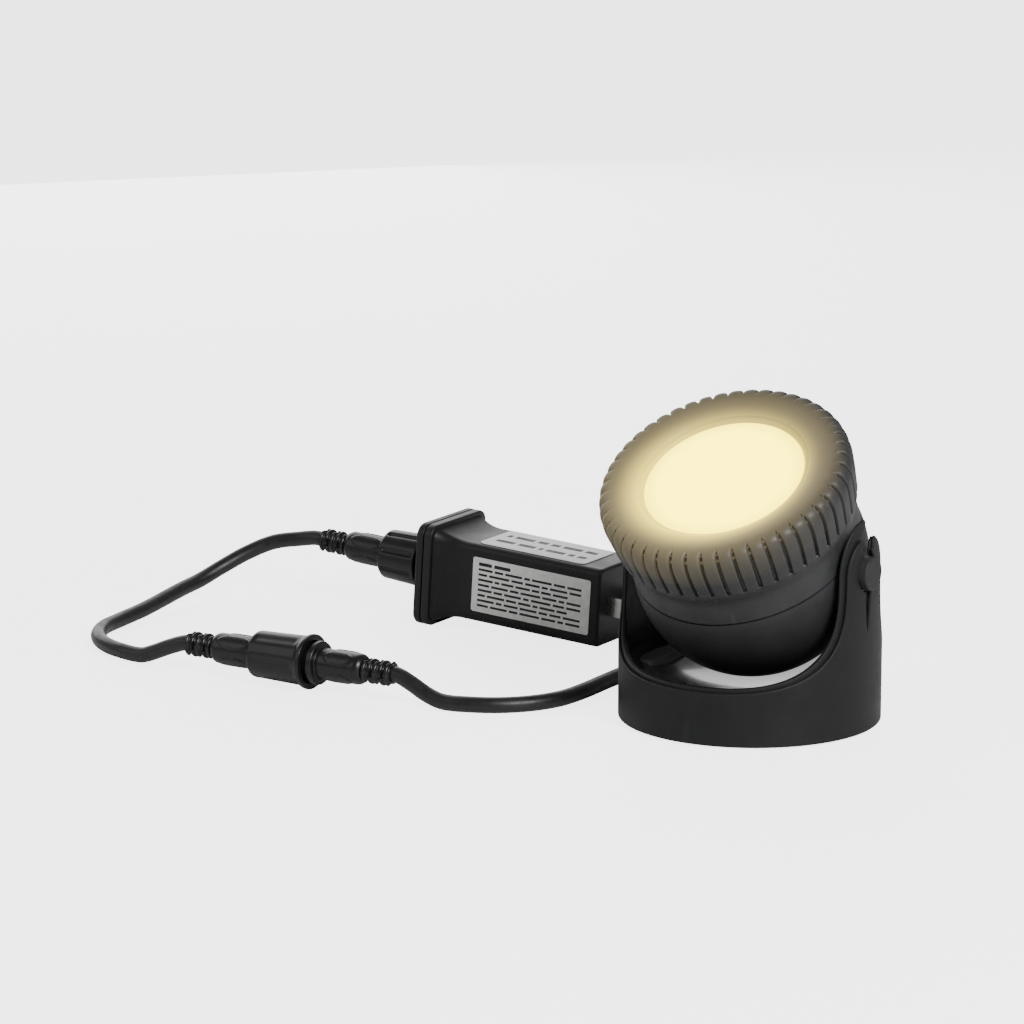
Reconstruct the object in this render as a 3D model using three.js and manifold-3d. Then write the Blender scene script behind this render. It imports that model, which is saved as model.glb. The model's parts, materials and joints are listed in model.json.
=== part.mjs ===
// Underwater pond light: a tilting, sealed LED head on a weighted yoke base, with its supply cable,
// a waterproof screw coupler and a plug-in timer adapter. Millimetres, +Z up.
// Origin: centre of the base, on the plane that the light stands on. The tilt axis runs along X and
// the head leans towards -Y at rest.
import * as THREE from "three";
import { mergeVertices } from "three/addons/utils/BufferGeometryUtils.js";
import Module from "manifold-3d";

const wasm = await Module();
wasm.setup();

// ---------------------------------------------------------------- driving dimensions
const DEG = Math.PI / 180;
const FIT = 0.3; // gap left between pieces that bear on each other
const CABLE_R = 2.5;

const BASE_R = 40; // outside of the base
const BASE_WALL = 3; // below the arms
const ARM_WALL = 2;
const SKIN_T = 1.1; // outer layer of the wall; the liner inside it stands a little higher
const SKIN = { halfWidth: 10.8, frontHeight: 11.6, rearHeight: 11.6, saddle: 16.8 };
const LINER = { halfWidth: 13, frontHeight: 16.6, rearHeight: 11, saddle: 18 };
const FLOOR_Z = 9; // top of the base's floor at its middle
const FLOOR_T = 2.6;
const DISH_RISE = 9; // how much higher the floor is at the wall than at its middle
const LEDGE = { reach: 27, half: 13, top: 16.5 }; // a step across the dish at the foot of each arm
const RIM_Z = 0.6; // the shell stops this far above the ground and stands on its rubber pad

const PIVOT_Z = 49.5;
const PIN_R = 5.2; // trunnion
const PIN_END = 41.8; // how far a trunnion reaches from the centre
const REST_TILT = 32 * DEG; // lean of the head at rest

const BOWL_R = 35.9; // the housing is a bowl centred on the tilt axis
const BOWL_WALL = 2.9;
const SEAM_D = 5.6; // the ring meets the housing here, measured from the tilt axis along the head
const NECK_R = 33.2;
const NECK_TOP = 26.4;
const RING_FRONT = 35.8; // front face of the ring
const LENS_OPENING_R = 24.5;
const RIBS = 48;
const GROOVE_W = 1.8;
const GLAND_ANGLE = 64 * DEG; // cable gland, measured round the bowl from its lowest point

const ADAPTER_LEN = 68; // flange face to blade face
const ADAPTER_HALF = 13;
const FLANGE_HALF = 17;
const FLANGE_T = 6;
const BLADE = { width: 6.35, thickness: 1.5, length: 17.5, spacing: 12.7 };

// Where the supply lies on the ground beside the light.
const LANE_X = -54; // cable running past the left side of the base
const FRONT_Y = -42; // cable and coupler in front
const BACK_Y = 62; // adapter behind
const COUPLER_X = -150; // shoulder of the coupler's plug
const ADAPTER_X = -150; // flange face of the adapter
const LEFT_X = -231; // leftmost run of the adapter's cable

// ---------------------------------------------------------------- materials
const plastic = (color, roughness = 0.45) => new THREE.MeshStandardMaterial({ color, roughness });
const metal = (color, roughness = 0.3) =>
  new THREE.MeshStandardMaterial({ color, roughness, metalness: 1 });
const MATERIAL = {
  shell: plastic(0x202123, 0.42),
  housing: plastic(0x17181a, 0.38),
  ring: plastic(0x2b2c2e, 0.4),
  rubber: plastic(0x101011, 0.8),
  cable: plastic(0x1a1b1c, 0.55),
  connector: plastic(0x18191a, 0.5),
  adapter: plastic(0x222325, 0.5),
  lens: new THREE.MeshStandardMaterial({
    color: 0xfff3cf,
    roughness: 0.05,
    transparent: true,
    opacity: 0.35,
    emissive: 0xffdd88,
  }),
  emitter: new THREE.MeshStandardMaterial({
    color: 0xffe9a8,
    roughness: 0.5,
    emissive: 0xffd070,
  }),
  silicone: plastic(0xd8d4cc, 0.6),
  reflector: metal(0xe6e6e6, 0.15),
  aluminium: metal(0xb4b8bc, 0.4),
  steel: metal(0x9a9da0, 0.35),
  ballast: metal(0x55585a, 0.6),
  plated: metal(0xd0d2d4, 0.2),
  board: plastic(0x1d5a34, 0.5),
  whiteBoard: plastic(0xe8e8e4, 0.5),
  resin: plastic(0x2a2a26, 0.25),
  core: plastic(0xc7b26a, 0.5),
  capacitor: plastic(0x26303c, 0.35),
  redWire: plastic(0xb3221c, 0.5),
  blackWire: plastic(0x141414, 0.5),
  button: plastic(0xe4e6e2, 0.35),
  greenLed: plastic(0x3fae4a, 0.25),
  label: plastic(0xf2f2f0, 0.6),
};

// ---------------------------------------------------------------- geometry helpers
function solid(geometry) {
  const flat = geometry.index ? geometry.toNonIndexed() : geometry.clone();
  const bare = new THREE.BufferGeometry().setAttribute("position", flat.getAttribute("position"));
  const merged = mergeVertices(bare, 1e-4);
  return new wasm.Manifold(
    new wasm.Mesh({
      numProp: 3,
      vertProperties: merged.attributes.position.array,
      triVerts: new Uint32Array(merged.index.array),
    }),
  );
}

function geometryOf(manifold) {
  const { vertProperties, triVerts } = manifold.getMesh();
  const geometry = new THREE.BufferGeometry()
    .setAttribute("position", new THREE.BufferAttribute(vertProperties, 3))
    .setIndex(new THREE.BufferAttribute(triVerts, 1));
  geometry.computeVertexNormals();
  return geometry;
}

const join = (...parts) =>
  geometryOf(parts.map(solid).reduce((whole, part) => whole.add(part)));
const cut = (body, ...tools) =>
  geometryOf(tools.map(solid).reduce((left, tool) => left.subtract(tool), solid(body)));

function add(parent, name, geometry, material) {
  const mesh = new THREE.Mesh(geometry, material);
  mesh.name = name;
  parent.add(mesh);
  return mesh;
}

// A profile of [radius, height] pairs, anticlockwise, turned round Z.
function lathe(profile, segments = 32) {
  const points = profile.map(([r, z]) => new THREE.Vector2(r, z));
  if (profile[0][0] > 0) points.push(points[0].clone());
  return new THREE.LatheGeometry(points, segments).rotateX(Math.PI / 2);
}

const cylinder = (r, z0, z1, segments = 24) =>
  new THREE.CylinderGeometry(r, r, z1 - z0, segments)
    .rotateX(Math.PI / 2)
    .translate(0, 0, (z0 + z1) / 2);

const annulus = (rIn, rOut, z0, z1, segments = 32) =>
  lathe([[rIn, z0], [rOut, z0], [rOut, z1], [rIn, z1]], segments);

const box = (x0, x1, y0, y1, z0, z1) =>
  new THREE.BoxGeometry(x1 - x0, y1 - y0, z1 - z0).translate(
    (x0 + x1) / 2,
    (y0 + y1) / 2,
    (z0 + z1) / 2,
  );

// Points along a circular arc in a [radius, height] profile.
const arc = (cr, cz, r, from, to, steps) =>
  Array.from({ length: steps + 1 }, (_, i) => {
    const a = from + ((to - from) * i) / steps;
    return [cr + r * Math.cos(a), cz + r * Math.sin(a)];
  });

// Turns a Z-aligned piece so that it points along +X.
const alongX = (geometry) => geometry.rotateY(Math.PI / 2);

const around = (count, radius, phase = 0) =>
  Array.from({ length: count }, (_, i) => {
    const a = phase + (2 * Math.PI * i) / count;
    return [radius * Math.cos(a), radius * Math.sin(a)];
  });

// A round cable or wire through a list of points.
function cable(points, radius, steps, sides = 8) {
  const path = new THREE.CatmullRomCurve3(points.map((p) => new THREE.Vector3(...p)));
  const section = new THREE.Shape(
    around(sides, radius).map(([x, y]) => new THREE.Vector2(x, y)),
  );
  return new THREE.ExtrudeGeometry(section, { steps, extrudePath: path });
}

// Pan-head self-tapping screw, head up, its bearing face at z = 0.
const screw = (headR, headH, shankR, length) =>
  lathe(
    [
      [0, -length],
      [shankR, -length + shankR],
      [shankR, 0],
      [headR, 0],
      [headR, headH * 0.55],
      [headR * 0.6, headH],
      [0, headH],
    ],
    12,
  );

function roundedSquare(half, corner, steps = 3) {
  const points = [];
  for (const [sy, sz, from] of [[1, -1, -90], [1, 1, 0], [-1, 1, 90], [-1, -1, 180]]) {
    const centre = [sy * (half - corner), sz * (half - corner)];
    points.push(...arc(...centre, corner, from * DEG, (from + 90) * DEG, steps));
  }
  return points;
}

// A closed solid through equal-length convex sections, each { x, points: [[y, z], ...] }, x rising.
function loft(sections) {
  const n = sections[0].points.length;
  const positions = sections.flatMap(({ x, points }) => points.flatMap(([y, z]) => [x, y, z]));
  const index = [];
  for (let s = 0; s + 1 < sections.length; s++)
    for (let i = 0; i < n; i++) {
      const a = s * n + i;
      const b = s * n + ((i + 1) % n);
      index.push(a, b, a + n, b, b + n, a + n);
    }
  const last = (sections.length - 1) * n;
  for (let i = 1; i + 1 < n; i++) {
    index.push(0, i + 1, i);
    index.push(last, last + i, last + i + 1);
  }
  return new THREE.BufferGeometry()
    .setAttribute("position", new THREE.Float32BufferAttribute(positions, 3))
    .setIndex(index);
}

// ---------------------------------------------------------------- base
// Height of the base's rim at arc distance s from the middle of an arm, out to the middle of the
// saddle. The arm's head is half an ellipse about the pivot, and below it the rim flares out.
function rimHeight(s, halfWidth, headHeight, saddle) {
  const saddleS = (Math.PI / 2) * BASE_R;
  if (s < halfWidth) return PIVOT_Z + headHeight * Math.sqrt(1 - (s / halfWidth) ** 2);
  const run = (saddleS - s) / (saddleS - halfWidth);
  return saddle + (PIVOT_Z - saddle) * (1 - (1 - run ** 3.2) ** (1 / 2.9));
}

// Everything above the rim, from radius rIn outwards, as one ring of radial columns. The step from
// the front height to the rear one lies inside the arm's slot.
function aboveRim(rIn, { halfWidth, frontHeight, rearHeight, saddle }) {
  const saddleS = (Math.PI / 2) * BASE_R;
  const head = [0, 0.18, 0.35, 0.64, 0.85, 0.965].map((share) => share * halfWidth);
  const flare = [0, 0.003, 0.015, 0.04, 0.08, 0.13, 0.2, 0.29, 0.4, 0.52, 0.64, 0.76, 0.88].map(
    (share) => halfWidth + share * (saddleS - halfWidth),
  );
  const quarter = [...head, ...flare, saddleS];
  const half = [...quarter, ...quarter.slice(1, -1).reverse().map((s) => 2 * saddleS - s)];
  const turn = [...half, ...half.map((s) => s + 2 * saddleS)];
  const positions = [];
  for (const s of turn) {
    const angle = s / BASE_R;
    const pastArm = s % (2 * saddleS);
    const fromArm = Math.min(pastArm, 2 * saddleS - pastArm);
    const headHeight = Math.sin(angle) > 0.01 ? rearHeight : frontHeight;
    const z = rimHeight(fromArm, halfWidth, headHeight, saddle);
    for (const [r, height] of [[rIn, z], [BASE_R + 12, z], [BASE_R + 12, 80], [rIn, 80]])
      positions.push(r * Math.cos(angle), r * Math.sin(angle), height);
  }
  const index = [];
  for (let i = 0; i < turn.length; i++)
    for (let k = 0; k < 4; k++) {
      const a = 4 * i + k;
      const b = 4 * i + ((k + 1) % 4);
      const c = 4 * ((i + 1) % turn.length) + k;
      const d = 4 * ((i + 1) % turn.length) + ((k + 1) % 4);
      index.push(a, c, b, b, c, d);
    }
  return new THREE.BufferGeometry()
    .setAttribute("position", new THREE.Float32BufferAttribute(positions, 3))
    .setIndex(index);
}

const PAD_T = 0.8;
const COVER = { top: 3, bottom: 1, seat: 2, screwCircle: 23 };
const BOSS_R = 3;

// The keyhole through one arm, as [y, z] from the pivot, without its round seat. Each jaw has the
// slit that lets it spring back, then the barb that holds the trunnion. Above them is the mouth of
// the slot, which the liner's taller front horn leans over.
const JAW = [[0.5, -17], [1.9, 0], [3, 4], [3, 5.2], [2.2, 6.6], [3, 7.5]];
const MOUTH = [[3, 20], [-0.3, 20], [-0.3, 15.2], [-3, 11]];

function keyhole(side) {
  const outline = [...JAW, ...MOUTH, ...JAW.map(([y, z]) => [-y, z]).reverse()];
  const start = BASE_R - BASE_WALL - 1;
  const reach = 24;
  return new THREE.ExtrudeGeometry(
    new THREE.Shape(outline.map(([y, z]) => new THREE.Vector2(y, z))),
    { depth: reach, bevelEnabled: false },
  )
    .rotateX(Math.PI / 2)
    .rotateZ(Math.PI / 2)
    .translate(side > 0 ? start : -start - reach, 0, PIVOT_Z);
}

function baseShell() {
  const inner = BASE_R - BASE_WALL;
  const armTop = PIVOT_Z + 18;
  const floorAt = (r) => FLOOR_Z + DISH_RISE * (r / inner) ** 2;
  const dish = [inner, 32, 27, 21, 14, 7, 0].map((r) => [r, floorAt(r)]);
  const underside = [0, 14, 24, 32].map((r) => [r, floorAt(r) - FLOOR_T]);
  const cup = lathe(
    [
      ...underside,
      [inner, underside.at(-1)[1]],
      [inner, RIM_Z],
      [BASE_R - 0.8, RIM_Z],
      [BASE_R, RIM_Z + 0.8],
      [BASE_R, armTop],
      [BASE_R - ARM_WALL, armTop],
      [BASE_R - ARM_WALL, 34],
      [inner, 22],
      ...dish,
    ],
    48,
  );
  const ledges = [0, Math.PI].map((turn) =>
    box(LEDGE.reach, inner - 0.4, -LEDGE.half, LEDGE.half, FLOOR_Z + 3, LEDGE.top).rotateZ(turn),
  );
  const screwPlaces = around(3, COVER.screwCircle, Math.PI / 2);
  const bosses = screwPlaces.map(([x, y]) =>
    cylinder(BOSS_R, COVER.top + FIT, floorAt(COVER.screwCircle - BOSS_R) - 0.4, 12).translate(x, y, 0),
  );
  const bossHoles = screwPlaces.map(([x, y]) =>
    cylinder(1.5, 0, FLOOR_Z - FLOOR_T, 10).translate(x, y, 0),
  );
  const seats = alongX(cylinder(PIN_R + 0.5, -60, 60, 24)).translate(0, 0, PIVOT_Z);
  return cut(
    join(cup, ...ledges, ...bosses),
    aboveRim(25, LINER),
    aboveRim(BASE_R - SKIN_T, SKIN),
    seats,
    keyhole(1),
    keyhole(-1),
    ...bossHoles,
  );
}

function buildBase(parent) {
  add(parent, "base_shell", baseShell(), MATERIAL.shell);

  const screwPlaces = around(3, COVER.screwCircle, Math.PI / 2);
  const atScrews = (r, z0, z1) =>
    screwPlaces.map(([x, y]) => cylinder(r, z0, z1, 12).translate(x, y, 0));
  add(
    parent,
    "ballast_plate",
    cut(
      cylinder(34, COVER.top + FIT, FLOOR_Z - FLOOR_T - FIT, 30),
      ...atScrews(BOSS_R + FIT, 0, 10),
    ),
    MATERIAL.ballast,
  );
  add(
    parent,
    "bottom_cover",
    cut(
      cylinder(BASE_R - BASE_WALL - FIT, COVER.bottom, COVER.top, 36),
      ...atScrews(1.5, 0, 10),
      ...atScrews(2.7, 0, COVER.seat),
    ),
    MATERIAL.shell,
  );
  screwPlaces.forEach(([x, y], i) =>
    add(
      parent,
      `cover_screw_${i + 1}`,
      screw(2.4, 0.8, 1.2, 3.6).rotateX(Math.PI).translate(x, y, COVER.seat - 0.1),
      MATERIAL.steel,
    ),
  );
  add(parent, "base_pad", cylinder(36, 0, PAD_T, 36), MATERIAL.rubber);
}

// ---------------------------------------------------------------- head
// The head's own frame has the tilt axis through its origin and +Z out through the lens.
const glandFrame = (geometry) => geometry.rotateX(GLAND_ANGLE + Math.PI);

// Step inside the housing that the heat spreader rests on.
const SHELF = { z: 4, innerR: 27, outerR: 30.6, foot: 1.6 };
const HOUSING_INNER_R = BOWL_R - BOWL_WALL;
const GLAND_BOSS = { r: 6.6, end: 38.6, bore: 4.4 };

// Clears the rounding error that arc leaves where an outline meets the axis.
const onAxis = (profile) => profile.map(([r, z]) => [Math.abs(r) < 1e-6 ? 0 : r, z]);

function housing() {
  const bowl = lathe(
    onAxis([
      ...arc(0, 0, BOWL_R, -Math.PI / 2, 0, 11),
      [BOWL_R - 0.2, SEAM_D],
      [NECK_R, SEAM_D],
      [NECK_R, NECK_TOP],
      [SHELF.outerR, NECK_TOP],
      [SHELF.outerR, SHELF.z],
      [SHELF.innerR, SHELF.z],
      [SHELF.innerR, SHELF.foot],
      ...arc(0, 0, HOUSING_INNER_R, -6 * DEG, -Math.PI / 2, 6),
    ]),
    36,
  );
  const root = HOUSING_INNER_R - 0.5; // trunnions and boss start inside the bowl's wall
  const chamfer = 0.6;
  const pin = alongX(
    lathe(
      [
        [0, root],
        [PIN_R, root],
        [PIN_R, PIN_END - chamfer],
        [PIN_R - chamfer, PIN_END],
        [0, PIN_END],
      ],
      24,
    ),
  );
  const boss = glandFrame(cylinder(GLAND_BOSS.r, root, GLAND_BOSS.end, 20));
  const bore = glandFrame(cylinder(GLAND_BOSS.bore, 20, 42, 16));
  return cut(join(bowl, pin, pin.clone().rotateZ(Math.PI), boss), bore);
}

const LIP_Z = 32.5; // underside of the ring's front lip, which clamps the lens

function retainingRing() {
  const body = lathe(
    [
      [NECK_R + 0.4, SEAM_D + FIT],
      [35.5, SEAM_D + FIT],
      [35.5, 14],
      [36.6, 17.6],
      [37.5, 18.4],
      [39.0, 29],
      [38.8, 32],
      [37.6, 34.4],
      [35.8, RING_FRONT],
      [LENS_OPENING_R + 3, RING_FRONT - 0.5],
      [LENS_OPENING_R, LIP_Z + 1],
      [LENS_OPENING_R, LIP_Z],
      [32.8, LIP_Z],
      [32.8, NECK_TOP + 2],
      [NECK_R + 0.4, NECK_TOP + 1.4],
    ],
    RIBS,
  );
  // One groove between two grip ribs: it follows the flank and runs out over the front corner.
  const profile = [
    [36.4, 18.6],
    [37.7, 30.5],
    [36.2, 33.8],
    [34, 36],
    [46, 36],
    [46, 18.6],
  ];
  const groove = new THREE.ExtrudeGeometry(
    new THREE.Shape(profile.map(([r, z]) => new THREE.Vector2(r, z))),
    { depth: GROOVE_W, bevelEnabled: false },
  )
    .translate(0, 0, -GROOVE_W / 2)
    .rotateX(Math.PI / 2);
  const grooves = Array.from({ length: RIBS }, (_, i) =>
    solid(groove.clone().rotateZ((2 * Math.PI * i) / RIBS)),
  ).reduce((whole, part) => whole.add(part));
  return geometryOf(solid(body).subtract(grooves));
}

const LENS = { r: 32.2, bottom: NECK_TOP + 2.6, edgeTop: LIP_Z - 0.5, domeTop: LIP_Z + 0.8 };
const BOARD = { r: 21.5, bottom: 6.5, top: 8.2 };
const BOARD_SCREW_CIRCLE = 18.8;
const WIRE = { r: 0.9, x: 4, y: 13.5 };
const POT_TOP = -14; // surface of the resin that seals the driver's underside

function addOptics(head) {
  const gasket = annulus(28.6, 32, NECK_TOP + FIT, LENS.bottom - FIT);
  add(head, "lens_gasket", gasket, MATERIAL.silicone);
  const lens = lathe(
    [
      [0, LENS.bottom],
      [LENS.r, LENS.bottom],
      [LENS.r, LENS.edgeTop],
      [LENS_OPENING_R - 0.5, LENS.edgeTop],
      [16, LIP_Z + 0.3],
      [0, LENS.domeTop],
    ],
    36,
  );
  add(head, "front_lens", lens, MATERIAL.lens);
  const reflector = lathe(
    [
      [12.5, BOARD.top + FIT],
      [13.8, BOARD.top + FIT],
      [19.5, 14],
      [24.6, 20.5],
      [27.4, 25.6],
      [30.2, 25.6],
      [30.2, 26.6],
      [26.6, 26.6],
      [23.4, 20.9],
      [18.3, 14.6],
    ],
    30,
  );
  add(head, "reflector", reflector, MATERIAL.reflector);
}

function addLightSource(head) {
  const screwPlaces = around(3, BOARD_SCREW_CIRCLE, -Math.PI / 2);
  const holes = (places) => places.map(([x, y]) => cylinder(1.5, 0, 20, 10).translate(x, y, 0));
  const wirePlaces = [[-WIRE.x, WIRE.y], [WIRE.x, WIRE.y]];
  const spreader = cylinder(SHELF.outerR - 0.4, SHELF.z + FIT, BOARD.bottom - 0.2, 36);
  add(
    head,
    "heat_spreader",
    cut(spreader, ...holes(wirePlaces), ...holes(screwPlaces)),
    MATERIAL.aluminium,
  );
  const board = cylinder(BOARD.r, BOARD.bottom, BOARD.top, 32);
  add(head, "led_board", cut(board, ...holes(screwPlaces)), MATERIAL.whiteBoard);
  const onBoard = BOARD.top + 0.1;
  screwPlaces.forEach(([x, y], i) => {
    const boardScrew = screw(2.2, 1.3, 1.2, 5).translate(x, y, onBoard);
    add(head, `board_screw_${i + 1}`, boardScrew, MATERIAL.steel);
  });
  const half = 1.75;
  [[0, 0], ...around(6, 8)].forEach(([x, y], i) => {
    const led = box(x - half, x + half, y - half, y + half, onBoard, onBoard + 1.5);
    add(head, `led_${i + 1}`, led, MATERIAL.emitter);
  });
}

function addDriver(head) {
  const resinR = HOUSING_INNER_R - 2 * FIT;
  const resin = lathe(
    onAxis([
      ...arc(0, 0, resinR, -Math.PI / 2, Math.asin(POT_TOP / resinR), 5),
      [0, POT_TOP],
    ]),
    28,
  );
  const cableBore = glandFrame(cylinder(CABLE_R + FIT, 25.7, 40, 16));
  add(head, "resin_seal", cut(resin, cableBore), MATERIAL.resin);

  // Round board, then the switching chip, the inductor and the connector that stand on it.
  const boardBottom = POT_TOP + FIT;
  const driver = join(
    cylinder(20, boardBottom, boardBottom + 1.6, 28),
    box(-9, -2, -9, -3, boardBottom + 1, boardBottom + 5.2),
    cylinder(3.6, boardBottom + 1, boardBottom + 8.2, 16).translate(8, -5, 0),
    box(-6, 6, 4, 9, boardBottom + 1, boardBottom + 3.7),
  );
  add(head, "driver_board", driver, MATERIAL.board);

  const wireFrom = boardBottom + 1.9;
  [["lead_wire_red", -1, MATERIAL.redWire], ["lead_wire_black", 1, MATERIAL.blackWire]].forEach(
    ([name, side, material]) => {
      const x = side * WIRE.x;
      const path = [
        [x * 2, WIRE.y - 1.5, wireFrom],
        [x * 1.8, WIRE.y - 0.5, wireFrom + 4],
        [x * 1.1, WIRE.y, 0],
        [x, WIRE.y, BOARD.bottom - 0.3],
      ];
      add(head, name, cable(path, WIRE.r, 6, 8), material);
    },
  );
}

function addGland(head) {
  const cableHole = CABLE_R + FIT;
  const seal = annulus(cableHole, GLAND_BOSS.bore - FIT, 34, GLAND_BOSS.end - 0.4, 16);
  add(head, "gland_seal", glandFrame(seal), MATERIAL.rubber);
  const from = GLAND_BOSS.end + FIT;
  const hexagon = lathe([[0, from], [6.4, from], [6.4, 43.6], [5, 45.4], [0, 45.4]], 6);
  const nut = cut(hexagon, cylinder(cableHole, from - 3, 48, 16));
  add(head, "gland_nut", glandFrame(nut), MATERIAL.connector);
}

function buildHead(parent) {
  const head = new THREE.Group();
  head.position.z = PIVOT_Z;
  head.rotation.x = REST_TILT;
  parent.add(head);
  add(head, "head_housing", housing(), MATERIAL.housing);
  add(head, "retaining_ring", retainingRing(), MATERIAL.ring);
  addOptics(head);
  addLightSource(head);
  addDriver(head);
  addGland(head);
  return head;
}

// ---------------------------------------------------------------- screw connectors
// Every connector is drawn along Z: the plug's cable leaves towards +Z and its shoulder ends at
// z = 0, the socket lies below with its cable or jack towards -Z.
const SOCKET_FACE = 4.5; // how far below z = 0 the socket's front face sits
const THREAD_R = 6.2;
const PIN_OFFSET = 2;
const RELIEF_RINGS = 5;
const RELIEF_PITCH = 2.1;
const PLUG_R = 4.9;
const PLUG_GRIP = 18;
const SOCKET_GRIP_END = 38;
const RELIEF = RELIEF_RINGS * RELIEF_PITCH;

// A moulded cable end along +Z: the nose's outline, a grip, then a ribbed strain relief that the
// cable enters.
function cableEnd(nose, { from, to, r }) {
  const tip = to + RELIEF_RINGS * RELIEF_PITCH;
  const relief = Array.from({ length: RELIEF_RINGS }, (_, i) => to + i * RELIEF_PITCH).flatMap((z) => [
    [3.2, z + 0.4],
    [4, z + 0.7],
    [4, z + 1.4],
    [3.2, z + 1.7],
  ]);
  return lathe(
    [
      ...nose,
      [r, from],
      [r, to - 1.5],
      [r - 1, to],
      ...relief,
      [3.2, tip],
      [CABLE_R + 0.2, tip],
      [CABLE_R + 0.2, to - 2],
      [0, to - 2],
    ],
    16,
  );
}

// Outline of a socket's bore, front face and thread, its front face towards -Z.
function socketNose(threadEnd) {
  const thread = [];
  for (let z = SOCKET_FACE + 1; z + 2 < threadEnd; z += 2.5)
    thread.push([THREAD_R, z], [6.6, z + 0.7], [THREAD_R, z + 1.4]);
  return [
    [0, SOCKET_FACE + 10],
    [4.5, SOCKET_FACE + 10],
    [4.5, SOCKET_FACE],
    [THREAD_R, SOCKET_FACE],
    ...thread,
    [THREAD_R, threadEnd],
  ];
}

const pinHoles = (z0, z1) =>
  [-PIN_OFFSET, PIN_OFFSET].map((x) => cylinder(1.1, z0, z1, 10).translate(x, 0, 0));

// The moving half of a connector: plug, captive nut, sealing ring and contact pins.
function addPlug(parent, name, nut) {
  const plugNose = [
    [0, -9],
    [4.1, -9],
    [4.1, -1.9],
    [6.5, -1.9],
    [6.5, 0],
  ];
  add(
    parent,
    `${name}_plug`,
    cut(cableEnd(plugNose, { from: 0, to: PLUG_GRIP, r: PLUG_R }), ...pinHoles(-10, -4.7)),
    MATERIAL.connector,
  );
  const rim = nut.rim ? [[nut.r + nut.rim, -nut.length], [nut.r + nut.rim, 2 - nut.length]] : [];
  const sleeve = lathe(
    [
      [6.9, -nut.length],
      ...rim,
      [nut.r, (nut.rim ? 2.1 : 0) - nut.length],
      [nut.r, 0.8],
      [nut.r - 1, 2.2],
      [5.7, 2.2],
      [5.7, 0.3],
      [6.9, 0.3],
    ],
    30,
  );
  const slots = around(nut.grips, nut.r + 0.7).map(([x, y]) =>
    cylinder(1.1, 3.2 - nut.length, 0, 8).translate(x, y, 0),
  );
  add(parent, `${name}_nut`, cut(sleeve, ...slots), MATERIAL.connector);
  add(
    parent,
    `${name}_oring`,
    new THREE.TorusGeometry(5.35, 0.95, 6, 18).translate(0, 0, -3.2),
    MATERIAL.rubber,
  );
  [-PIN_OFFSET, PIN_OFFSET].forEach((x, i) =>
    add(
      parent,
      `${name}_pin_${i + 1}`,
      cylinder(0.8, -18, -5, 10).translate(x, 0, 0),
      MATERIAL.plated,
    ),
  );
}

const COUPLER_Z = 8.8; // axis of the coupler, which lies on its nut's rim

function buildCoupler(parent) {
  const coupler = new THREE.Group();
  coupler.position.set(COUPLER_X, FRONT_Y, COUPLER_Z);
  coupler.rotation.y = -Math.PI / 2;
  parent.add(coupler);
  addPlug(coupler, "coupler", { length: 18.5, r: 7.9, rim: 0.8, grips: 12 });
  const socketNosePoints = [...socketNose(20), [6.9, 20], [6.9, 21.8]];
  add(
    coupler,
    "coupler_socket",
    cut(
      cableEnd(socketNosePoints, { from: 22, to: SOCKET_GRIP_END, r: PLUG_R }),
      ...pinHoles(14, 19),
    ).rotateX(Math.PI),
    MATERIAL.connector,
  );
}

// ---------------------------------------------------------------- adapter
const ADAPTER_TILT = Math.atan((FLANGE_HALF - ADAPTER_HALF) / (ADAPTER_LEN - FLANGE_T));
const ADAPTER_Z = FLANGE_HALF * Math.cos(ADAPTER_TILT) + FLANGE_T * Math.sin(ADAPTER_TILT);
const COVER_T = 2.8;
const BUTTON_YZ = [-8.9, 8.9];
const BUTTON_R = 3.8;
const PLUG_ORIGIN = -18.5; // shoulder of the adapter's cable plug, from the flange face

// World position of a point on the adapter's axis.
const onAdapterAxis = (x) => [
  ADAPTER_X + x * Math.cos(ADAPTER_TILT),
  BACK_Y,
  ADAPTER_Z - x * Math.sin(ADAPTER_TILT),
];

function adapterCase() {
  const outside = [
    [COVER_T + FIT, FLANGE_HALF, 4],
    [FLANGE_T, FLANGE_HALF, 4],
    [FLANGE_T + 0.8, 15.6, 3.4],
    [FLANGE_T + 3, 14.3, 3],
    [FLANGE_T + 7, 13.4, 2.6],
    [FLANGE_T + 13, ADAPTER_HALF, 2.4],
    [ADAPTER_LEN - 0.8, ADAPTER_HALF, 2.4],
    [ADAPTER_LEN, ADAPTER_HALF - 0.8, 2],
  ].map(([x, half, corner]) => ({ x, points: roundedSquare(half, corner) }));
  const slots = [-1, 1].map((side) => {
    const y = (side * BLADE.spacing) / 2;
    const halfT = BLADE.thickness / 2 + FIT;
    const halfW = BLADE.width / 2 + FIT;
    return box(ADAPTER_LEN - 6, ADAPTER_LEN + 4, y - halfT, y + halfT, -halfW, halfW);
  });
  return cut(
    loft(outside),
    box(0, 5.8, -14, 14, -14, 14),
    box(5, ADAPTER_LEN - 2.5, -11, 11, -11, 11),
    ...slots,
  );
}

function adapterCover() {
  const [y, z] = BUTTON_YZ;
  const plate = loft(
    [[0, FLANGE_HALF - 0.8], [0.8, FLANGE_HALF], [COVER_T, FLANGE_HALF]].map(([x, half]) => ({
      x,
      points: roundedSquare(half, 4),
    })),
  );
  return cut(
    plate,
    alongX(cylinder(6.3, -2, 5, 28)),
    alongX(cylinder(BUTTON_R + FIT, -2, 5, 20)).translate(0, y, z),
  );
}

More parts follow.
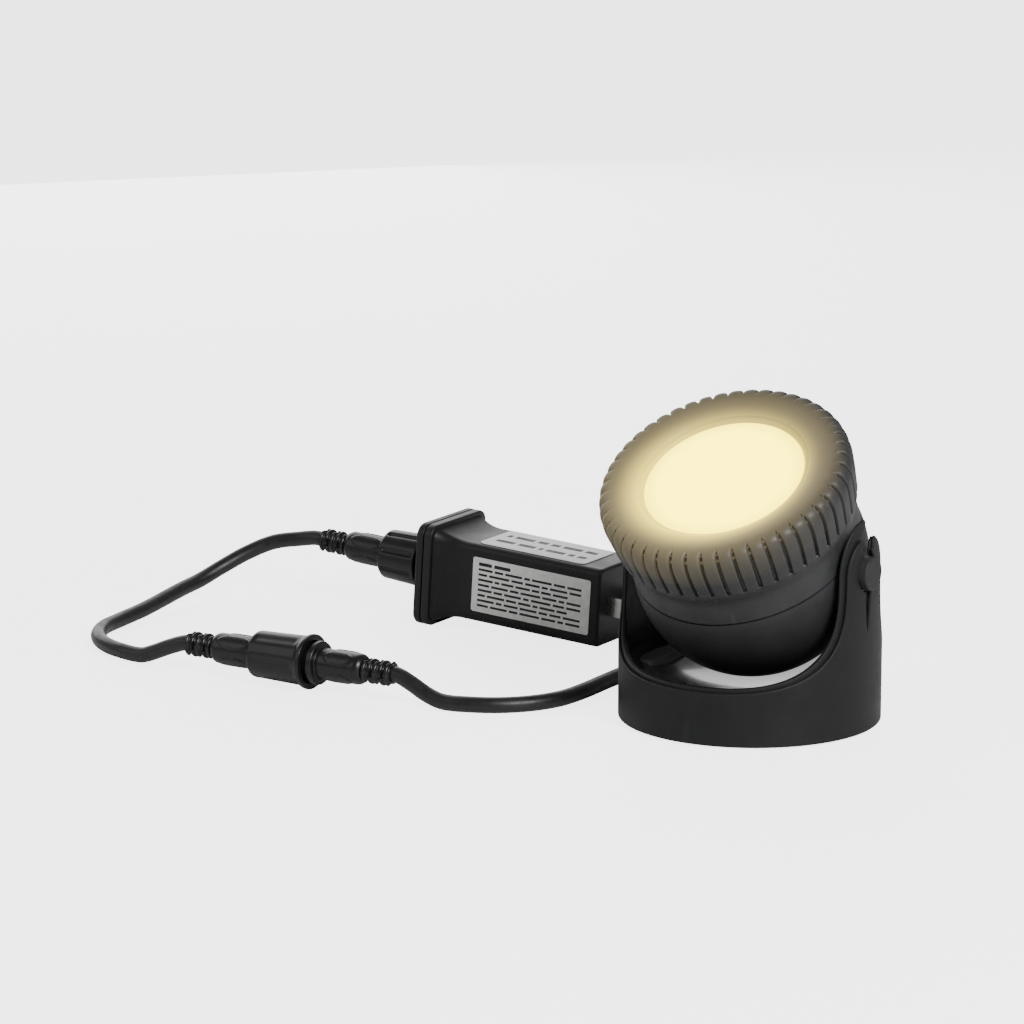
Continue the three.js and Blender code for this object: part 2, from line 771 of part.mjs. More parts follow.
function blade() {
  const half = BLADE.width / 2;
  const tip = ADAPTER_LEN + BLADE.length;
  const outline = new THREE.Shape(
    [
      [ADAPTER_LEN - 7, -half],
      [tip - 2, -half],
      [tip, -half + 1.6],
      [tip, half - 1.6],
      [tip - 2, half],
      [ADAPTER_LEN - 7, half],
    ].map(([x, z]) => new THREE.Vector2(x, z)),
  );
  outline.holes.push(new THREE.Path().absarc(tip - 3.8, 0, 1.6, 0, 2 * Math.PI));
  return new THREE.ExtrudeGeometry(outline, {
    depth: BLADE.thickness,
    bevelEnabled: false,
    curveSegments: 12,
  })
    .rotateX(Math.PI / 2)
    .translate(0, BLADE.thickness / 2, 0);
}

function addElectronics(adapter) {
  const boardTop = -4.2;
  const [y, z] = BUTTON_YZ;
  add(adapter, "power_board", box(10, 58, -10.4, 10.4, boardTop - 1.4, boardTop), MATERIAL.board);
  add(
    adapter,
    "transformer",
    join(
      box(22, 38, -8, 8, boardTop + 0.1, 2.4),
      box(24, 36, -7, 7, boardTop + 1, 9),
      box(22, 38, -8, 8, 6, 9.6),
    ),
    MATERIAL.core,
  );
  add(
    adapter,
    "capacitor",
    cylinder(4.6, boardTop + 0.1, 9.5, 24).translate(48, 3, 0),
    MATERIAL.capacitor,
  );
  add(adapter, "timer_board", box(8.1, 9.5, -10.4, 10.4, boardTop + 0.3, 10.4), MATERIAL.board);
  add(
    adapter,
    "tact_switch",
    join(
      box(6.2, 8, y - 2, y + 2, z - 2, z + 2),
      alongX(cylinder(1, 5.8, 7, 12)).translate(0, y, z),
    ),
    MATERIAL.plated,
  );
  add(
    adapter,
    "status_led",
    alongX(lathe([[0, 5.6], [1, 5.8], [1.5, 6.5], [1.5, 8], [0, 8]], 16)).translate(0, y + 4.6, z),
    MATERIAL.greenLed,
  );
}

// Drawn pointing out of the flange: stem, retaining collar, cap and dome.
function addButton(adapter) {
  const [y, z] = BUTTON_YZ;
  const collar = BUTTON_R + 0.8;
  const button = lathe(
    [
      [0, -4.5],
      [1.5, -4.5],
      [1.5, -3.9],
      [collar, -3.9],
      [collar, -3.1],
      [BUTTON_R, -3.1],
      [BUTTON_R, 0.6],
      [3.1, 1.6],
      [1.7, 2.2],
      [0, 2.4],
    ],
    16,
  );
  add(
    adapter,
    "timer_button",
    button.rotateY(-Math.PI / 2).translate(0, y, z),
    MATERIAL.button,
  );
}

function addLabels(adapter) {
  const face = ADAPTER_HALF + 0.1;
  const paper = 0.2;
  const timer = box(20, 60, -10.4, 10.4, face, face + paper);
  const rating = box(20, 65, -face - paper, -face, -9.3, 9.3);
  add(adapter, "timer_label", timer, MATERIAL.label);
  add(adapter, "rating_label", rating, MATERIAL.label);
}

function addOutlet(adapter) {
  const outlet = new THREE.Group();
  outlet.position.x = PLUG_ORIGIN;
  outlet.rotation.y = -Math.PI / 2;
  adapter.add(outlet);
  addPlug(outlet, "outlet", { length: 12.6, r: 8.8, rim: 0, grips: 8 });
  // The neck narrows where it passes through the flange cover, and flares to a flange inside.
  const jack = lathe(
    [
      ...socketNose(13.5),
      [7.7, 13.5],
      [7.7, 18.2],
      [6, 18.2],
      [6, 21.6],
      [7.5, 21.6],
      [7.5, 23.4],
      [0, 23.4],
    ],
    20,
  );
  add(
    outlet,
    "outlet_jack",
    cut(jack, ...pinHoles(14, 19)).rotateX(Math.PI),
    MATERIAL.connector,
  );
}

function buildAdapter(parent) {
  const adapter = new THREE.Group();
  adapter.position.set(ADAPTER_X, BACK_Y, ADAPTER_Z);
  adapter.rotation.y = ADAPTER_TILT;
  parent.add(adapter);
  add(adapter, "adapter_case", adapterCase(), MATERIAL.adapter);
  add(adapter, "adapter_cover", adapterCover(), MATERIAL.adapter);
  [["blade_left", 1], ["blade_right", -1]].forEach(([name, side]) =>
    add(adapter, name, blade().translate(0, (side * BLADE.spacing) / 2, 0), MATERIAL.plated),
  );
  addElectronics(adapter);
  addButton(adapter);
  addLabels(adapter);
  addOutlet(adapter);
}

// ---------------------------------------------------------------- cables
const GROUND = CABLE_R + 0.02;

// A level quarter bend, eased from one height to another.
function bend(cx, cy, r, from, to, z0 = GROUND, z1 = GROUND, steps = 5) {
  return arc(cx, cy, r, from * DEG, to * DEG, steps).map(([x, y], i) => {
    const t = i / steps;
    return [x, y, z0 + (z1 - z0) * t * t * (3 - 2 * t)];
  });
}

// The stretch that bends when the head tilts, from the gland round to the ground on the left.
function flexCable() {
  const angle = GLAND_ANGLE + REST_TILT;
  const leaving = (t) => [0, t * Math.sin(angle), PIVOT_Z - t * Math.cos(angle)];
  return cable(
    [
      leaving(46.7),
      leaving(52),
      [-2, 65, 53],
      [-11, 79, 42],
      [-26, 85, 25],
      [-41, 78, 10],
      [-50.5, 63, 3.6],
      [LANE_X, 48, GROUND],
      [LANE_X, 38.3, GROUND],
    ],
    CABLE_R,
    30,
  );
}

function lampCable() {
  const turn = 30;
  const socketEnd = COUPLER_X + SOCKET_GRIP_END + RELIEF;
  return cable(
    [
      [LANE_X, 38, GROUND],
      [LANE_X, 10, GROUND],
      ...bend(LANE_X - turn, FRONT_Y + turn, turn, 0, -90),
      [socketEnd + 12, FRONT_Y, 4],
      [socketEnd + 6, FRONT_Y, 8],
      [socketEnd + 1, FRONT_Y, COUPLER_Z],
      [socketEnd - 4, FRONT_Y, COUPLER_Z],
      [socketEnd - 12.4, FRONT_Y, COUPLER_Z],
    ],
    CABLE_R,
    34,
  );
}

function adapterCable() {
  const turn = 34;
  const plugEnd = COUPLER_X - PLUG_GRIP - RELIEF;
  const outletEnd = PLUG_ORIGIN - PLUG_GRIP - RELIEF;
  const exit = onAdapterAxis(outletEnd - 3);
  return cable(
    [
      [plugEnd + 12.4, FRONT_Y, COUPLER_Z],
      [plugEnd + 4, FRONT_Y, COUPLER_Z],
      [plugEnd - 1, FRONT_Y, COUPLER_Z],
      [plugEnd - 7, FRONT_Y, 8],
      [plugEnd - 14, FRONT_Y, 4],
      ...bend(LEFT_X + turn, FRONT_Y + turn, turn, -90, -180),
      [LEFT_X, 6, 3.4],
      ...bend(LEFT_X + turn, BACK_Y - turn, turn, 180, 105, 6, exit[2] - 0.8),
      exit,
      onAdapterAxis(outletEnd),
      onAdapterAxis(outletEnd + 6),
      onAdapterAxis(outletEnd + 12.4),
    ],
    CABLE_R,
    52,
  );
}

function buildCables(parent, head) {
  const stub = glandFrame(cylinder(CABLE_R, 26, 46.4, 12));
  add(head, "cable_stub", stub, MATERIAL.cable);
  add(parent, "cable_flex", flexCable(), MATERIAL.cable);
  add(parent, "lamp_cable", lampCable(), MATERIAL.cable);
  add(parent, "adapter_cable", adapterCable(), MATERIAL.cable);
}

// ---------------------------------------------------------------- assembly
const light = new THREE.Group();
light.name = "pond_light";
buildBase(light);
const head = buildHead(light);
buildCoupler(light);
buildAdapter(light);
buildCables(light, head);

export default light;
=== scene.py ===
import json
from math import acos, asin, atan2, cos, degrees, hypot, pi, radians, sin, sqrt

import bmesh
import bpy
from mathutils import Matrix, Vector


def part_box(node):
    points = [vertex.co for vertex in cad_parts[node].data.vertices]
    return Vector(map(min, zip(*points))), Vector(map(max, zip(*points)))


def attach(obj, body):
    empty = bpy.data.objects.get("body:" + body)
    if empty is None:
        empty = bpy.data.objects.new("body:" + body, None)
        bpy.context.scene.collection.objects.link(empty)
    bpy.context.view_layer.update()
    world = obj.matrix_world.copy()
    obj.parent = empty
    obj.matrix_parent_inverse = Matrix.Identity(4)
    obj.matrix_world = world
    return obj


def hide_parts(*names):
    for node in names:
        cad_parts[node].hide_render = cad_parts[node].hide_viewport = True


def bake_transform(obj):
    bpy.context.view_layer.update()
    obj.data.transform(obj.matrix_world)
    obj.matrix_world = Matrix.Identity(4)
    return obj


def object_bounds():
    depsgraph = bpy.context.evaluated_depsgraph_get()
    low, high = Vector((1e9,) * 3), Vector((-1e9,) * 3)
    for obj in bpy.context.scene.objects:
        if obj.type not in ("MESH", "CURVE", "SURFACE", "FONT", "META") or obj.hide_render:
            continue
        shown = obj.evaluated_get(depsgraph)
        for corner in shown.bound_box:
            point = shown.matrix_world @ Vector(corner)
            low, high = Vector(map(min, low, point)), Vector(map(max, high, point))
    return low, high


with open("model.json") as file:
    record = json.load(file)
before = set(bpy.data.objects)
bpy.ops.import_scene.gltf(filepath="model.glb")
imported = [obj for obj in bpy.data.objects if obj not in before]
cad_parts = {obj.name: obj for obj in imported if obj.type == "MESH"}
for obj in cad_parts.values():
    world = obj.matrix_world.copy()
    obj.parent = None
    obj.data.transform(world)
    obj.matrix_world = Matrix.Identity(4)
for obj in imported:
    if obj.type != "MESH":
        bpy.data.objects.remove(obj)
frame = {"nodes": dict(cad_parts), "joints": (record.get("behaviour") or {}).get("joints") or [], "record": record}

# Pieces are drawn in millimetres, each in the frame of its own sub-assembly, then placed in metres.
CAD_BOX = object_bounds()
MM = 0.001
X_AXIS = Vector((1, 0, 0))

# ---------------------------------------------------------------- places taken from the frame
JOINTS = {joint["name"]: joint for joint in frame["joints"]}


def joint_point(name):
    return Vector(JOINTS[name]["pos_m"])


def joint_axis(name):
    return Vector(JOINTS[name]["axis"])


def size_of(node):
    low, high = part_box(node)
    return (high - low) / MM


PIVOT = joint_point("head_tilt")
HEAD_AXIS = joint_axis("ring_unscrew")
REST_TILT = atan2(-HEAD_AXIS.y, HEAD_AXIS.z)
HEAD = Matrix.Translation(PIVOT) @ Matrix.Rotation(REST_TILT, 4, "X")

ADAPTER_AXIS = joint_axis("outlet_nut_spin")
ADAPTER_TURN = Matrix.Rotation(atan2(-ADAPTER_AXIS.z, ADAPTER_AXIS.x), 4, "Y")
PLUG_BACK = 18.5  # from the adapter's flange face to its plug's shoulder
ADAPTER = (
    Matrix.Translation(joint_point("outlet_nut_spin") + PLUG_BACK * MM * ADAPTER_AXIS) @ ADAPTER_TURN
)
TO_LEFT = Matrix.Rotation(-pi / 2, 4, "Y")  # turns a piece drawn along +Z to point along -X
COUPLER = Matrix.Translation(joint_point("coupler_nut_spin")) @ TO_LEFT
OUTLET = ADAPTER @ Matrix.Translation((-PLUG_BACK * MM, 0, 0)) @ TO_LEFT

PIVOT_Z = PIVOT.z / MM
BASE_R = size_of("base_shell").x / 2
RIM_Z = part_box("base_shell")[0].z / MM
PIN_END = size_of("head_housing").x / 2
ADAPTER_LEN = 68
ADAPTER_HALF = 13
FLANGE_HALF = 17
FLANGE_T = 6
CABLE_R = 2.5


# ---------------------------------------------------------------- outlines
def rounded(outline, steps=4):
    """Points (a, b) or (a, b, size) as a list of (a, b): a corner with a size is rounded over it,
    unless it is the first or the last."""
    points = []
    for i, corner in enumerate(outline):
        here = Vector(corner[:2])
        if len(corner) < 3 or i in (0, len(outline) - 1):
            points.append(tuple(here))
            continue
        before = Vector(outline[i - 1][:2]) - here
        after = Vector(outline[i + 1][:2]) - here
        start = here + before.normalized() * min(corner[2], 0.48 * before.length)
        end = here + after.normalized() * min(corner[2], 0.48 * after.length)
        for k in range(steps + 1):
            t = k / steps
            point = start * (1 - t) ** 2 + here * 2 * t * (1 - t) + end * t**2
            points.append(tuple(point))
    return points


def arc(centre_a, centre_b, radius, start, end, steps):
    """Points of a circular arc, its angles in degrees."""
    angles = [radians(start + (end - start) * k / steps) for k in range(steps + 1)]
    return [(centre_a + radius * cos(a), centre_b + radius * sin(a)) for a in angles]


def dense(points, step):
    """The same outline with long runs divided to at most step."""
    result = []
    for a, b in zip(points, points[1:]):
        parts = max(1, int(hypot(b[0] - a[0], b[1] - a[1]) / step))
        for k in range(parts):
            t = k / parts
            result.append((a[0] + (b[0] - a[0]) * t, a[1] + (b[1] - a[1]) * t))
    return result + [points[-1]]


def ease(t):
    t = min(1.0, max(0.0, t))
    return t * t * (3 - 2 * t)


def even_angles(count):
    return [2 * pi * k / count for k in range(count)]


# ---------------------------------------------------------------- meshes
def turned(profile, angles, inset=None):
    """Turns an outline of (radius, height) points round Z, anticlockwise in its own plane. It ends
    on the axis or closes on itself. inset(angle, r, z) sinks the surface along its normal."""
    closed = profile[0][0] > 1e-6
    normals = []
    for i in range(len(profile)):
        before = profile[i - 1] if closed or i else profile[i]
        after = profile[(i + 1) % len(profile)] if closed or i + 1 < len(profile) else profile[i]
        along = Vector((after[0] - before[0], after[1] - before[1])).normalized()
        normals.append((-along.y, along.x))
    verts, rows, faces = [], [], []
    for (r, z), (nr, nz) in zip(profile, normals):
        if r < 1e-6:
            rows.append([len(verts)] * len(angles))
            verts.append((0, 0, z))
            continue
        rows.append(range(len(verts), len(verts) + len(angles)))
        for a in angles:
            depth = inset(a, r, z) if inset else 0
            radius = r + nr * depth
            verts.append((radius * cos(a), radius * sin(a), z + nz * depth))
    bands = list(zip(rows, rows[1:])) + ([(rows[-1], rows[0])] if closed else [])
    for low, high in bands:
        for k in range(len(angles)):
            n = (k + 1) % len(angles)
            face = [low[k], low[n], high[n], high[k]]
            faces.append(list(dict.fromkeys(face)))
    return verts, faces


def lathe(profile, segments=96):
    return turned(profile, even_angles(segments))


def moved(shape, matrix):
    verts, faces = shape
    return [tuple(matrix @ Vector(v)) for v in verts], faces


def joined(*shapes):
    verts, faces = [], []
    for more_verts, more_faces in shapes:
        start = len(verts)
        verts += more_verts
        faces += [[start + i for i in face] for face in more_faces]
    return verts, faces


def block(low, high):
    x, y, z = ((low[i], high[i]) for i in range(3))
    verts = [(a, b, c) for a in x for b in y for c in z]
    faces = [[0, 1, 3, 2], [4, 6, 7, 5], [0, 4, 5, 1], [2, 3, 7, 6], [0, 2, 6, 4], [1, 5, 7, 3]]
    return verts, faces


def loft(sections):
    """A closed body through equal-length rings of 3-D points."""
    count = len(sections[0])
    verts = [p for section in sections for p in section]
    faces = []
    for s in range(len(sections) - 1):
        for i in range(count):
            a, b = s * count + i, s * count + (i + 1) % count
            faces.append([a, b, b + count, a + count])
    faces.append(list(range(count))[::-1])
    last = (len(sections) - 1) * count
    faces.append(list(range(last, last + count)))
    return verts, faces


def rounded_square(half_a, half_b, corner, steps=8):
    points = []
    for side_a, side_b, start in ((1, -1, -90), (1, 1, 0), (-1, 1, 90), (-1, -1, 180)):
        centre = (side_a * (half_a - corner), side_b * (half_b - corner))
        points += arc(*centre, corner, start, start + 90, steps)
    return points


def new_mesh(name, shape, place):
    """A mesh in metres from a shape in millimetres, its faces turned outwards."""
    verts, faces = shape
    mesh = bpy.data.meshes.new(name)
    mesh.from_pydata([place @ (Vector(v) * MM) for v in verts], [], faces)
    clean = bmesh.new()
    clean.from_mesh(mesh)
    bmesh.ops.recalc_face_normals(clean, faces=clean.faces)
    clean.to_mesh(mesh)
    clean.free()
    return mesh


def add_object(name, data):
    obj = bpy.data.objects.new(name, data)
    bpy.context.scene.collection.objects.link(obj)
    return obj


def soften_edges(obj, width_mm, segments=3):
    edge = obj.modifiers.new("edge", "BEVEL")
    edge.width = width_mm * MM
    edge.segments = segments
    edge.limit_method = "ANGLE"
    edge.angle_limit = radians(30)


def piece(name, shape, material, body, place=None, stands_for=(), sharp=38, bevel=0):
    """Makes one shown piece from a shape in millimetres, and hangs it on its CAD body."""
    mesh = new_mesh(name, shape, place or Matrix.Identity(4))
    for look in material if isinstance(material, tuple) else (material,):
        mesh.materials.append(look)
    obj = add_object(name, mesh)
    if bevel:
        soften_edges(obj, bevel)
    smooth(mesh, sharp)
    shading = obj.modifiers.new("shading", "WEIGHTED_NORMAL")
    shading.keep_sharp = True
    if body:
        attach(obj, body)
    if stands_for:
        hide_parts(*stands_for)
    return obj


def smooth(mesh, sharp):
    mesh.polygons.foreach_set("use_smooth", [True] * len(mesh.polygons))
    mesh.set_sharp_from_angle(angle=radians(sharp))


# ---------------------------------------------------------------- materials
class Nodes:
    """A short way to write a node material."""

    def __init__(self, name):
        self.material = bpy.data.materials.new(name)
        self.material.use_nodes = True
        self.tree = self.material.node_tree
        self.shader = self.tree.nodes["Principled BSDF"]
        self.place = self.add("ShaderNodeTexCoord").outputs["Object"]

    def add(self, kind, **settings):
        node = self.tree.nodes.new(kind)
        for key, value in settings.items():
            setattr(node, key, value)
        return node

    def link(self, value, socket):
        if hasattr(value, "links"):
            self.tree.links.new(value, socket)
        else:
            socket.default_value = value
        return self

    def set(self, **values):
        for key, value in values.items():
            self.link(value, self.shader.inputs[key.replace("_", " ")])
        return self

    def maths(self, operation, *values):
        node = self.add("ShaderNodeMath", operation=operation)
        for value, socket in zip(values, node.inputs):
            self.link(value, socket)
        return node.outputs[0]

    def vector(self, operation, *values):
        node = self.add("ShaderNodeVectorMath", operation=operation)
        for value, socket in zip(values, node.inputs):
            self.link(value, socket)
        return node

    def noise(self, size_mm, detail=4, stretch=(1, 1, 1)):
        """Noise with features about size_mm across, as a value from 0 to 1."""
        mapping = self.add("ShaderNodeMapping")
        self.link(self.place, mapping.inputs["Vector"])
        mapping.inputs["Scale"].default_value = stretch
        texture = self.add("ShaderNodeTexNoise")
        texture.inputs["Scale"].default_value = 1 / (size_mm * MM)
        texture.inputs["Detail"].default_value = detail
        self.link(mapping.outputs[0], texture.inputs["Vector"])
        return texture.outputs["Fac"]

    def between(self, value, low, high, low_in=0.3, high_in=0.7):
        """Maps low_in..high_in to low..high, and holds the ends. The defaults suit noise."""
        node = self.add("ShaderNodeMapRange")
        for key, number in (("From Min", low_in), ("From Max", high_in), ("To Min", low), ("To Max", high)):
            node.inputs[key].default_value = number
        self.link(value, node.inputs["Value"])
        return node.outputs[0]

    def colours(self, value, first, second):
        node = self.add("ShaderNodeMix", data_type="RGBA")
        self.link(value, node.inputs["Factor"])
        node.inputs["A"].default_value = (*first, 1)
        node.inputs["B"].default_value = (*second, 1)
        return node.outputs["Result"]

    def bump(self, value, height_mm):
        node = self.add("ShaderNodeBump")
        node.inputs["Distance"].default_value = height_mm * MM
        self.link(value, node.inputs["Height"])
        return node.outputs["Normal"]

    def edges(self):
        """1 along worn outer edges, 0 elsewhere."""
        pointiness = self.add("ShaderNodeNewGeometry").outputs["Pointiness"]
        return self.between(pointiness, 0, 1, 0.505, 0.56)


EDGE_WEAR = {"share": 0.35, "lighter": 2.2}


def shade(colour, factor):
    return tuple(channel * factor for channel in colour)


def moulded(name, colour, roughness, grain_mm=0.35, grain_height=0.01, shine=0.38, coat=0.0):
    """Injection-moulded plastic: fine spark-eroded grain, faint flow marks and polished edges."""
    m = Nodes(name)
    patches = m.noise(9, detail=3)
    grain = m.noise(grain_mm, detail=2)
    body = m.colours(m.between(patches, 0, 1), shade(colour, 0.88), shade(colour, 1.12))
    worn = m.add("ShaderNodeMix", data_type="RGBA")
    m.link(m.maths("MULTIPLY", m.edges(), EDGE_WEAR["share"]), worn.inputs["Factor"])
    m.link(body, worn.inputs["A"])
    worn.inputs["B"].default_value = (*shade(colour, EDGE_WEAR["lighter"]), 1)
    wear = m.between(patches, -0.04, 0.04)
    rough = m.maths("ADD", wear, m.between(grain, roughness - 0.03, roughness + 0.03))
    m.set(Base_Color=worn.outputs["Result"], Roughness=rough, Normal=m.bump(grain, grain_height))
    m.set(Specular_IOR_Level=shine, Coat_Weight=coat, Coat_Roughness=0.2)
    return m


def rubber(name, colour, roughness, height=0.02):
    m = Nodes(name)
    dust = m.noise(3, detail=6)
    skin = m.noise(0.5, detail=3)
    m.set(Base_Color=m.colours(m.between(dust, 0, 1), shade(colour, 0.85), shade(colour, 1.25)))
    m.set(Roughness=m.between(dust, roughness - 0.07, roughness + 0.07), Normal=m.bump(skin, height))
    m.set(Sheen_Weight=0.05)
    return m


def metal(name, colour, roughness, stretch=(1, 1, 1), scratch_mm=0.4):
    m = Nodes(name)
    scratches = m.noise(scratch_mm, detail=5, stretch=stretch)
    tarnish = m.noise(4, detail=3)
    m.set(Base_Color=m.colours(m.between(tarnish, 0, 1), shade(colour, 0.82), colour))
    m.set(Metallic=1.0, Roughness=m.between(scratches, roughness - 0.08, roughness + 0.12))
    m.set(Normal=m.bump(scratches, 0.004))
    return m


def plain_gloss(name, colour, roughness):
    m = Nodes(name)
    cloud = m.noise(2, detail=3)
    m.set(Base_Color=m.colours(m.between(cloud, 0, 1), shade(colour, 0.85), colour))
    m.set(Roughness=m.between(cloud, roughness - 0.05, roughness + 0.08))
    return m


def from_head_axis(m, shift=(0, 0, 0)):
    """Distance from the head's axis, moved by shift, and height along it above the pivot."""
    centre = PIVOT + Vector(shift)
    offset = m.vector("SUBTRACT", m.place, tuple(centre)).outputs[0]
    height = m.vector("DOT_PRODUCT", offset, tuple(HEAD_AXIS)).outputs["Value"]
    along = m.add("ShaderNodeVectorMath", operation="SCALE")
    along.inputs[0].default_value = tuple(HEAD_AXIS)
    m.link(height, along.inputs["Scale"])
    across = m.vector("SUBTRACT", offset, along.outputs[0]).outputs[0]
    return m.vector("LENGTH", across).outputs["Value"], height


# The lamp's light on the ring's front, painted as emission in the ring's material: a tight rim round the lens and
# a wide haze.
SPILL_SHIFT = (-0.001, -0.0026, 0)  # in metres, towards the lamp's left and front
SPILL_RIM = {"strength": 3.0, "inner_mm": 24.3, "outer_mm": 34.5, "power": 3.0}
SPILL_HAZE = {"strength": 0.46, "inner_mm": 28, "outer_mm": 40}
SPILL_FRONT_MM = (22, 35.5)  # heights above the pivot between which it grows to its full strength
WARM_NEAR = (1.0, 0.77, 0.08)
WARM_FAR = (1.0, 0.79, 0.36)


def fading(m, radius, spill, strength):
    """A strength that falls to nothing between a spill's inner and outer radius."""
    return m.between(radius, strength, 0, spill["inner_mm"] * MM, spill["outer_mm"] * MM)


def ring_with_painted_spill():
    """The ring's charcoal plastic, with the lamp's warm light painted over its front as emission."""
    m = moulded("ring_plastic", (0.034, 0.0345, 0.036), roughness=0.44, shine=0.3)
    radius, height = from_head_axis(m, SPILL_SHIFT)
    front = m.between(height, 0, 1, *(level * MM for level in SPILL_FRONT_MM))
    outside = m.between(m.add("ShaderNodeNewGeometry").outputs["Pointiness"], 0.15, 1, 0.47, 0.5)
    haze = m.maths("MULTIPLY", fading(m, radius, SPILL_HAZE, SPILL_HAZE["strength"]), outside)
    rim = m.maths("POWER", fading(m, radius, SPILL_RIM, 1), SPILL_RIM["power"])
    spill = m.maths("ADD", haze, m.maths("MULTIPLY", rim, SPILL_RIM["strength"]))
    near = m.between(radius, 1, 0, 25 * MM, 33 * MM)
    m.set(Emission_Color=m.colours(near, WARM_FAR, WARM_NEAR))
    m.set(Emission_Strength=m.maths("MULTIPLY", spill, front))
    return m.material


def lit_lens():
    """A domed glass lens, evenly bright and a little deeper in colour at its edge."""
    m = Nodes("lens_glow")
    radius, _ = from_head_axis(m)
    edge = m.between(radius, 0, 1, 20 * MM, 24.5 * MM)
    mottle = m.between(m.noise(5, detail=2), 0.97, 1.03)
    m.set(Base_Color=(0.4, 0.3, 0.05, 1), Roughness=0.12, Coat_Weight=0.3, Coat_Roughness=0.05)
    m.set(Emission_Color=m.colours(edge, (1.0, 0.84, 0.0), (1.0, 0.78, 0.0)))
    m.set(Emission_Strength=m.maths("MULTIPLY", mottle, m.between(edge, 8.5, 6, 0, 1)))
    return m.material


def translucent(name, colour):
    m = plain_gloss(name, colour, 0.3)
    m.set(Subsurface_Weight=0.5, Subsurface_Radius=(0.002, 0.002, 0.002), Transmission_Weight=0.15)
    return m.material


def glass_material(name):
    m = Nodes(name)
    m.set(Base_Color=(1, 0.98, 0.94, 1), Transmission_Weight=0.9, IOR=1.5)
    m.set(Roughness=m.between(m.noise(6), 0.02, 0.05))
    return m.material


def glowing(name, colour, strength):
    m = Nodes(name)
    phosphor = m.between(m.noise(0.4), strength * 0.9, strength)
    m.set(Base_Color=(*colour, 1), Emission_Color=(*colour, 1), Emission_Strength=phosphor)
    return m.material


CHARCOAL = (0.014, 0.0142, 0.0148)
MATERIAL = {
    "shell": moulded("base_plastic", CHARCOAL, 0.48, shine=0.2).material,
    "floor": moulded("base_floor_gloss", (0.005, 0.005, 0.005), 0.08, grain_height=0.001, coat=1.0).material,
    # The ledges are the base's charcoal plastic; their light grey is painted light, standing for the light that
    # falls on their tops.
    "ledge": moulded("base_ledge", (0.2, 0.2, 0.203), 0.6).material,
    "housing": moulded("housing_plastic", (0.024, 0.0243, 0.0253), 0.5, shine=0.2).material,
    # ring: charcoal plastic with the lamp's light painted on its front as emission
    "ring": ring_with_painted_spill(),
    "lens": lit_lens(),
    "connector": moulded("connector_plastic", (0.006, 0.0061, 0.0065), 0.33, coat=0.15).material,
    "cable": rubber("cable_jacket", (0.007, 0.0071, 0.0076), 0.42, 0.012).material,
    "rubber": rubber("black_rubber", (0.008, 0.008, 0.008), 0.75).material,
    "adapter": moulded("adapter_plastic", (0.008, 0.0081, 0.0086), 0.42, 0.5, 0.02).material,
    "plated": metal("nickel_plate", (0.6, 0.59, 0.57), 0.22, (1, 1, 12)).material,
    "button": translucent("button_plastic", (0.7, 0.74, 0.72)),
    "paper": plain_gloss("label_vinyl", (0.88, 0.88, 0.86), 0.38).material,
    "ink": plain_gloss("label_ink", (0.01, 0.01, 0.011), 0.5).material,
}


PLAIN_LOOKS = {  # colour and roughness, by material slot
    "circuit_board": ((0.03, 0.16, 0.06), 0.3),
    "led_substrate": ((0.8, 0.8, 0.78), 0.35),
    "transformer_tape": ((0.55, 0.4, 0.1), 0.4),
    "capacitor_sleeve": ((0.03, 0.04, 0.09), 0.2),
    "green_led": ((0.05, 0.5, 0.1), 0.15),
    "potting_resin": ((0.01, 0.01, 0.009), 0.15),
    "red_insulation": ((0.45, 0.02, 0.015), 0.35),
    "black_insulation": ((0.012, 0.012, 0.012), 0.35),
}


def frame_materials():
    """Looks for the pieces that stay as the frame has them, by material slot."""
    plain = {name: plain_gloss(name, *look).material for name, look in PLAIN_LOOKS.items()}
    return plain | {
        "base_plastic": MATERIAL["shell"],
        "black_rubber": MATERIAL["rubber"],
        "cable_jacket": MATERIAL["cable"],
        "connector_plastic": MATERIAL["connector"],
        "adapter_plastic": MATERIAL["adapter"],
        "plated_contact": MATERIAL["plated"],
        "ballast_iron": metal("ballast_iron", (0.12, 0.12, 0.13), 0.55, scratch_mm=1.5).material,
        "stainless": metal("stainless", (0.6, 0.6, 0.62), 0.3).material,
        "silicone": rubber("silicone", (0.7, 0.68, 0.62), 0.4).material,
        "lens": glass_material("lens_glass"),
        "mirror_plating": metal("mirror_plating", (0.9, 0.9, 0.9), 0.12).material,
        "aluminium": metal("aluminium", (0.7, 0.71, 0.73), 0.35, (1, 10, 1)).material,
        "led_phosphor": glowing("led_phosphor", (1.0, 0.8, 0.4), 3.0),
    }


# ---------------------------------------------------------------- base
ARM_TOP = 34  # above this height the wall is thin
WALL_FOOT = 22
SKIN_R = BASE_R - 1.1  # where the wall's outer and inner layers meet
ARM_R = BASE_R - 2
FOOT_R = BASE_R - 3
FLOOR_Z = 9
FLOOR_T = 2.6
DISH_RISE = 9
LEDGE = {"inner": 27, "half_width": 13, "bottom": FLOOR_Z + 3, "top": 16.5}
SEAT_R = 5.7
SLOT_HALF = 3
BARB = {"half": 2.2, "height": 6.6}
SLIT = {"foot": 0.45, "depth": 17, "mouth": -71}  # mouth: where it meets the seat, in degrees
SKIN = {"half_width": 10.8, "saddle": 16.8, "bevel": 0.45}
LINER = {"half_width": 13, "saddle": 18, "bevel": 0.4}
LAYER_OVERLAP = 0.05
SKIN_EAR = 11.6  # heights above the pivot
LINER_EAR = 11
LINER_HORN = 16.6
HORN_TIP = 1.7  # from the arm's middle to the horn's highest point
EAR_LIP = {"turn": 0.12, "drop": 1.4}  # the small corner where an ear meets the slot
RIM_POWERS = (3.2, 2.9)  # of the superellipse that the rim follows from arm to saddle
RIM_STEPS = 40
ARM_MIDDLES = (-pi * BASE_R, 0)  # arc lengths: the wall is cut open at the middle of its back


